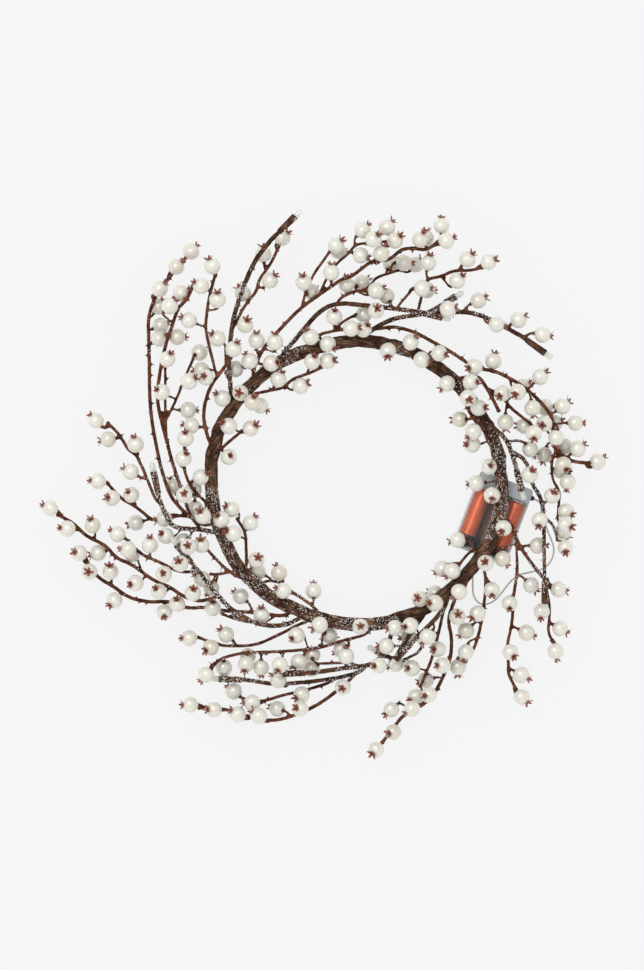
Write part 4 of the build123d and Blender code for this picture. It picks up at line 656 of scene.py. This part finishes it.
# Lamps: clear epoxy cast round a small cup with a yellow phosphor die, on two tinned steel legs.
# The epoxy is glossy and lets the cup show, and the tin is bright and a little grainy.
CUP_DROP = 1.5 * MM
DIE_SIDES = 12
DIE_CUP = [(0.7 * MM, -1.6 * MM), (0.8 * MM, 0), (1.35 * MM, 0.9 * MM), (1.1 * MM, 1.1 * MM),
           (0.5 * MM, 1.25 * MM)]
epoxy = empty_material("clear_epoxy")
epoxy_haze = add(epoxy, "TexNoise", {"Vector": add(epoxy, "TexCoord", {}, "Object"), "Scale": 1 / (2 * MM)})
epoxy_tint = add(epoxy, "Mix", {
    0: epoxy_haze, 6: linear("#dfe2e0"), 7: linear("#f6f7f5")}, 2, data_type="RGBA")
add(epoxy, "OutputMaterial", {"Surface": add(epoxy, "BsdfPrincipled", {
    "Base Color": epoxy_tint, "Roughness": 0.08, "IOR": 1.54, "Alpha": 0.5})})
dress(nodes["lamps"], epoxy)
phosphor = empty_material("yellow_phosphor")
phosphor_grain = add(phosphor, "TexNoise", {
    "Vector": add(phosphor, "TexCoord", {}, "Object"), "Scale": 1 / (0.5 * MM)})
phosphor_tint = add(phosphor, "Mix", {
    0: phosphor_grain, 6: linear("#c9b25a"), 7: linear("#efe2a4")}, 2, data_type="RGBA")
add(phosphor, "OutputMaterial", {"Surface": add(phosphor, "BsdfPrincipled", {
    "Base Color": phosphor_tint, "Roughness": 0.35})})
die_points = []
die_faces = []
leg_middles = [Vector(points.mean(axis=0)) for points in islands(nodes["lamp_legs"].data)]
for points in islands(nodes["lamps"].data):
    middle = Vector((points.min(axis=0) + points.max(axis=0)) / 2)
    axis = Vector(np.linalg.svd(points - points.mean(axis=0), full_matrices=False)[2][0])
    leg = min(leg_middles, key=lambda place: (place - middle).length)
    if axis.dot(middle - leg) < 0:
        axis = -axis
    add_turned(die_points, die_faces, upright(axis), middle - axis * CUP_DROP, DIE_CUP, DIE_SIDES)
piece("lamp_dies", mesh_from("lamp_dies", die_points, die_faces), phosphor, "lamp_lens")
tinned_steel = empty_material("tinned_steel")
tin_grain = add(tinned_steel, "TexNoise", {
    "Vector": add(tinned_steel, "TexCoord", {}, "Object"), "Scale": 1 / (0.5 * MM), "Detail": 4})
tin_tint = add(tinned_steel, "Mix", {
    0: tin_grain, 6: linear("#a9a69f"), 7: linear("#cdcac2")}, 2, data_type="RGBA")
tin_relief = add(tinned_steel, "Bump", {"Height": tin_grain, "Distance": 0.03 * MM, "Strength": 0.3})
add(tinned_steel, "OutputMaterial", {"Surface": add(tinned_steel, "BsdfPrincipled", {
    "Base Color": tin_tint, "Metallic": 1.0, "Roughness": 0.3, "Normal": tin_relief})})
dress(nodes["lamp_legs"], tinned_steel)

# Battery box: a case, a sliding cover and a lid of clear polystyrene, moulded, glossy and a little scuffed.
# Over the wiring room the plastic is frosted and hides the wiring, and upright walls look a little denser.
BOX_PLACE = (116.8 * MM, -29.6 * MM, 0)
BOX_TURN = math.radians(68.9)
BOX_ALONG = (math.cos(BOX_TURN), math.sin(BOX_TURN), 0)
BOX_ACROSS = (-math.sin(BOX_TURN), math.cos(BOX_TURN), 0)
FROSTED_FROM = 22 * MM
polystyrene = empty_material("clear_polystyrene")
box_where = add(polystyrene, "TexCoord", {}, "Object")
scuffs = add(polystyrene, "TexNoise", {"Vector": box_where, "Scale": 1 / (1.2 * MM), "Detail": 6})
scuffs = add(polystyrene, "MapRange", {
    "Value": scuffs, "From Min": 0.35, "From Max": 0.75, "To Min": 0.05, "To Max": 0.2})
flow = add(polystyrene, "TexNoise", {"Vector": box_where, "Scale": 1 / (25 * MM), "Detail": 2})
flow_tint = add(polystyrene, "Mix", {
    0: flow, 6: linear("#d4d9df"), 7: linear("#eceff2")}, 2, data_type="RGBA")
box_offset = add(polystyrene, "VectorMath", {0: box_where, 1: BOX_PLACE}, operation="SUBTRACT")
box_along = add(polystyrene, "VectorMath", {0: box_offset, 1: BOX_ALONG}, "Value", operation="DOT_PRODUCT")
haze = add(polystyrene, "MapRange", {
    "Value": box_along, "From Min": FROSTED_FROM - MM, "From Max": FROSTED_FROM + MM,
    "To Min": 0.04, "To Max": 0.55})
wall_lean = add(polystyrene, "SeparateXYZ", {0: add(polystyrene, "NewGeometry", {}, "Normal")}, 2)
wall_lean = add(polystyrene, "Math", {0: wall_lean}, operation="ABSOLUTE")
wall_haze = add(polystyrene, "MapRange", {
    "Value": wall_lean, "From Min": 0.9, "From Max": 0.3, "To Max": 0.14})
haze = add(polystyrene, "Math", {0: haze, 1: wall_haze}, operation="ADD")
add(polystyrene, "OutputMaterial", {"Surface": add(polystyrene, "BsdfPrincipled", {
    "Base Color": flow_tint, "Roughness": scuffs, "IOR": 1.59, "Specular IOR Level": 0.15, "Alpha": haze})})
for name in ("box_case", "box_cover", "wiring_lid"):
    dress(nodes[name], polystyrene)

# Contacts: plates stamped and springs wound from tinned steel, pressed into the case at the cells' ends.
# They have the bright, slightly grainy tin of the lamps' legs.
for name in ("contact_plates", "contact_springs"):
    dress(nodes[name], tinned_steel)

# Cells: three steel cans in a printed foil jacket without lettering, laid side by side between contacts.
# The foil has a soft metal shine, and is copper orange with a black end. A dark brown band along the box's
# middle, over the middle cell, is painted shade.
BLACK_END = -21 * MM
SHADED_SIDE_MIDDLE = 2 * MM
SHADED_SIDE_HALF = 6.5 * MM
foil = empty_material("printed_foil_and_painted_shade")
foil_where = add(foil, "TexCoord", {}, "Object")
from_middle = add(foil, "VectorMath", {0: foil_where, 1: BOX_PLACE}, operation="SUBTRACT")
along = add(foil, "VectorMath", {0: from_middle, 1: BOX_ALONG}, "Value", operation="DOT_PRODUCT")
across = add(foil, "VectorMath", {0: from_middle, 1: BOX_ACROSS}, "Value", operation="DOT_PRODUCT")
print_clouds = add(foil, "TexNoise", {"Vector": from_middle, "Scale": 1 / (6 * MM), "Detail": 2})
print_and_shade_tint = add(foil, "Mix", {
    0: print_clouds, 6: linear("#bf4c1d"), 7: linear("#dd6830")}, 2, data_type="RGBA")
# Painted shade: a dark brown band along the middle of the box stands in for the shade on the cells there.
from_shaded_side = add(foil, "Math", {0: across, 1: SHADED_SIDE_MIDDLE}, operation="SUBTRACT")
from_shaded_side = add(foil, "Math", {0: from_shaded_side}, operation="ABSOLUTE")
shaded_side = add(foil, "MapRange", {
    "Value": from_shaded_side, "From Min": SHADED_SIDE_HALF + MM, "From Max": SHADED_SIDE_HALF - MM})
print_and_shade_tint = add(foil, "Mix", {0: shaded_side, 6: print_and_shade_tint, 7: linear("#4a2a12")}, 2, data_type="RGBA")
black_end = add(foil, "Math", {0: along, 1: BLACK_END}, operation="LESS_THAN")
print_and_shade_tint = add(foil, "Mix", {0: black_end, 6: print_and_shade_tint, 7: linear("#17140f")}, 2, data_type="RGBA")
foil_grain = add(foil, "TexNoise", {"Vector": from_middle, "Scale": 1 / (0.8 * MM), "Detail": 2})
foil_rough = add(foil, "MapRange", {"Value": foil_grain, "To Min": 0.22, "To Max": 0.36})
add(foil, "OutputMaterial", {"Surface": add(foil, "BsdfPrincipled", {
    "Base Color": print_and_shade_tint, "Metallic": 0.2, "Roughness": foil_rough, "Specular IOR Level": 0.25})})
dress(nodes["cells"], foil)


# Switch, timer chip and lead gland: black ABS, moulded with a fine spark grain that takes the shine off.
# The circuit board under the chip is glass laminate with a smooth green solder mask.
def moulded(name, low, high, rough):
    """A plain opaque plastic with a grain in tone and relief, drawn coarser than the real one to show."""
    material = empty_material(name)
    where = add(material, "TexCoord", {}, "Object")
    grain = add(material, "TexNoise", {"Vector": where, "Scale": 1 / (0.4 * MM)})
    tint = add(material, "Mix", {0: grain, 6: linear(low), 7: linear(high)}, 2, data_type="RGBA")
    relief = add(material, "Bump", {"Height": grain, "Distance": 0.04 * MM, "Strength": 0.4})
    add(material, "OutputMaterial", {"Surface": add(material, "BsdfPrincipled", {
        "Base Color": tint, "Roughness": rough, "Normal": relief})})
    return material


black_abs = moulded("black_abs", "#0e0e0e", "#1d1d1c", 0.45)
for name in ("switch_body", "switch_knob", "timer_chip", "lead_gland"):
    dress(nodes[name], black_abs)
dress(nodes["circuit_board"], moulded("green_solder_mask", "#1c4a2a", "#2a6a3c", 0.35))

# Lead: thin copper in nearly clear soft vinyl, limp, from the gland over the table and up into the hoop.
# The vinyl is cloudy and smooth, and its tails inside the box are the same.
LEAD_THICKNESS = 1.5 * MM
LEAD_ROUTE = [(151.94, -13.68, 9.4), (155.67, -15.12, 9.4), (158.6, -19.5, 8), (160, -27, 5.5),
              (162, -37, 3.2), (166, -46.5, 2), (169.5, -56, 1.5), (167.5, -66, 1.5), (160, -73.5, 1.5),
              (149.5, -76, 1.5), (139.5, -78, 2), (131.5, -84, 3.5), (125, -93, 5.5), (117.5, -101.5, 8),
              (107.5, -104.5, 10.5), (100.5, -98.5, 13), (99, -88, 16), (99.84, -71.42, 24.9)]
vinyl = empty_material("clear_vinyl")
vinyl_haze = add(vinyl, "TexNoise", {"Vector": add(vinyl, "TexCoord", {}, "Object"), "Scale": 1 / (3 * MM)})
vinyl_tint = add(vinyl, "Mix", {
    0: vinyl_haze, 6: linear("#bfbfbd"), 7: linear("#dcdcda")}, 2, data_type="RGBA")
add(vinyl, "OutputMaterial", {"Surface": add(vinyl, "BsdfPrincipled", {
    "Base Color": vinyl_tint, "Roughness": 0.25, "Alpha": 0.6})})
lead_curve = bpy.data.curves.new("lead", "CURVE")
lead_curve.dimensions = "3D"
lead_curve.bevel_depth = LEAD_THICKNESS / 2
lead_curve.bevel_resolution = 3
lead_curve.resolution_u = 10
lead_line = lead_curve.splines.new("NURBS")
lead_line.points.add(len(LEAD_ROUTE) - 1)
for control, place in zip(lead_line.points, LEAD_ROUTE):
    control.co = [value * MM for value in place] + [1]
lead_line.order_u = 3
lead_line.use_endpoint_u = True
lead = piece("lead", lead_curve, vinyl, "lead_plastic", "lead_cord")
dress(nodes["box_wires"], vinyl)
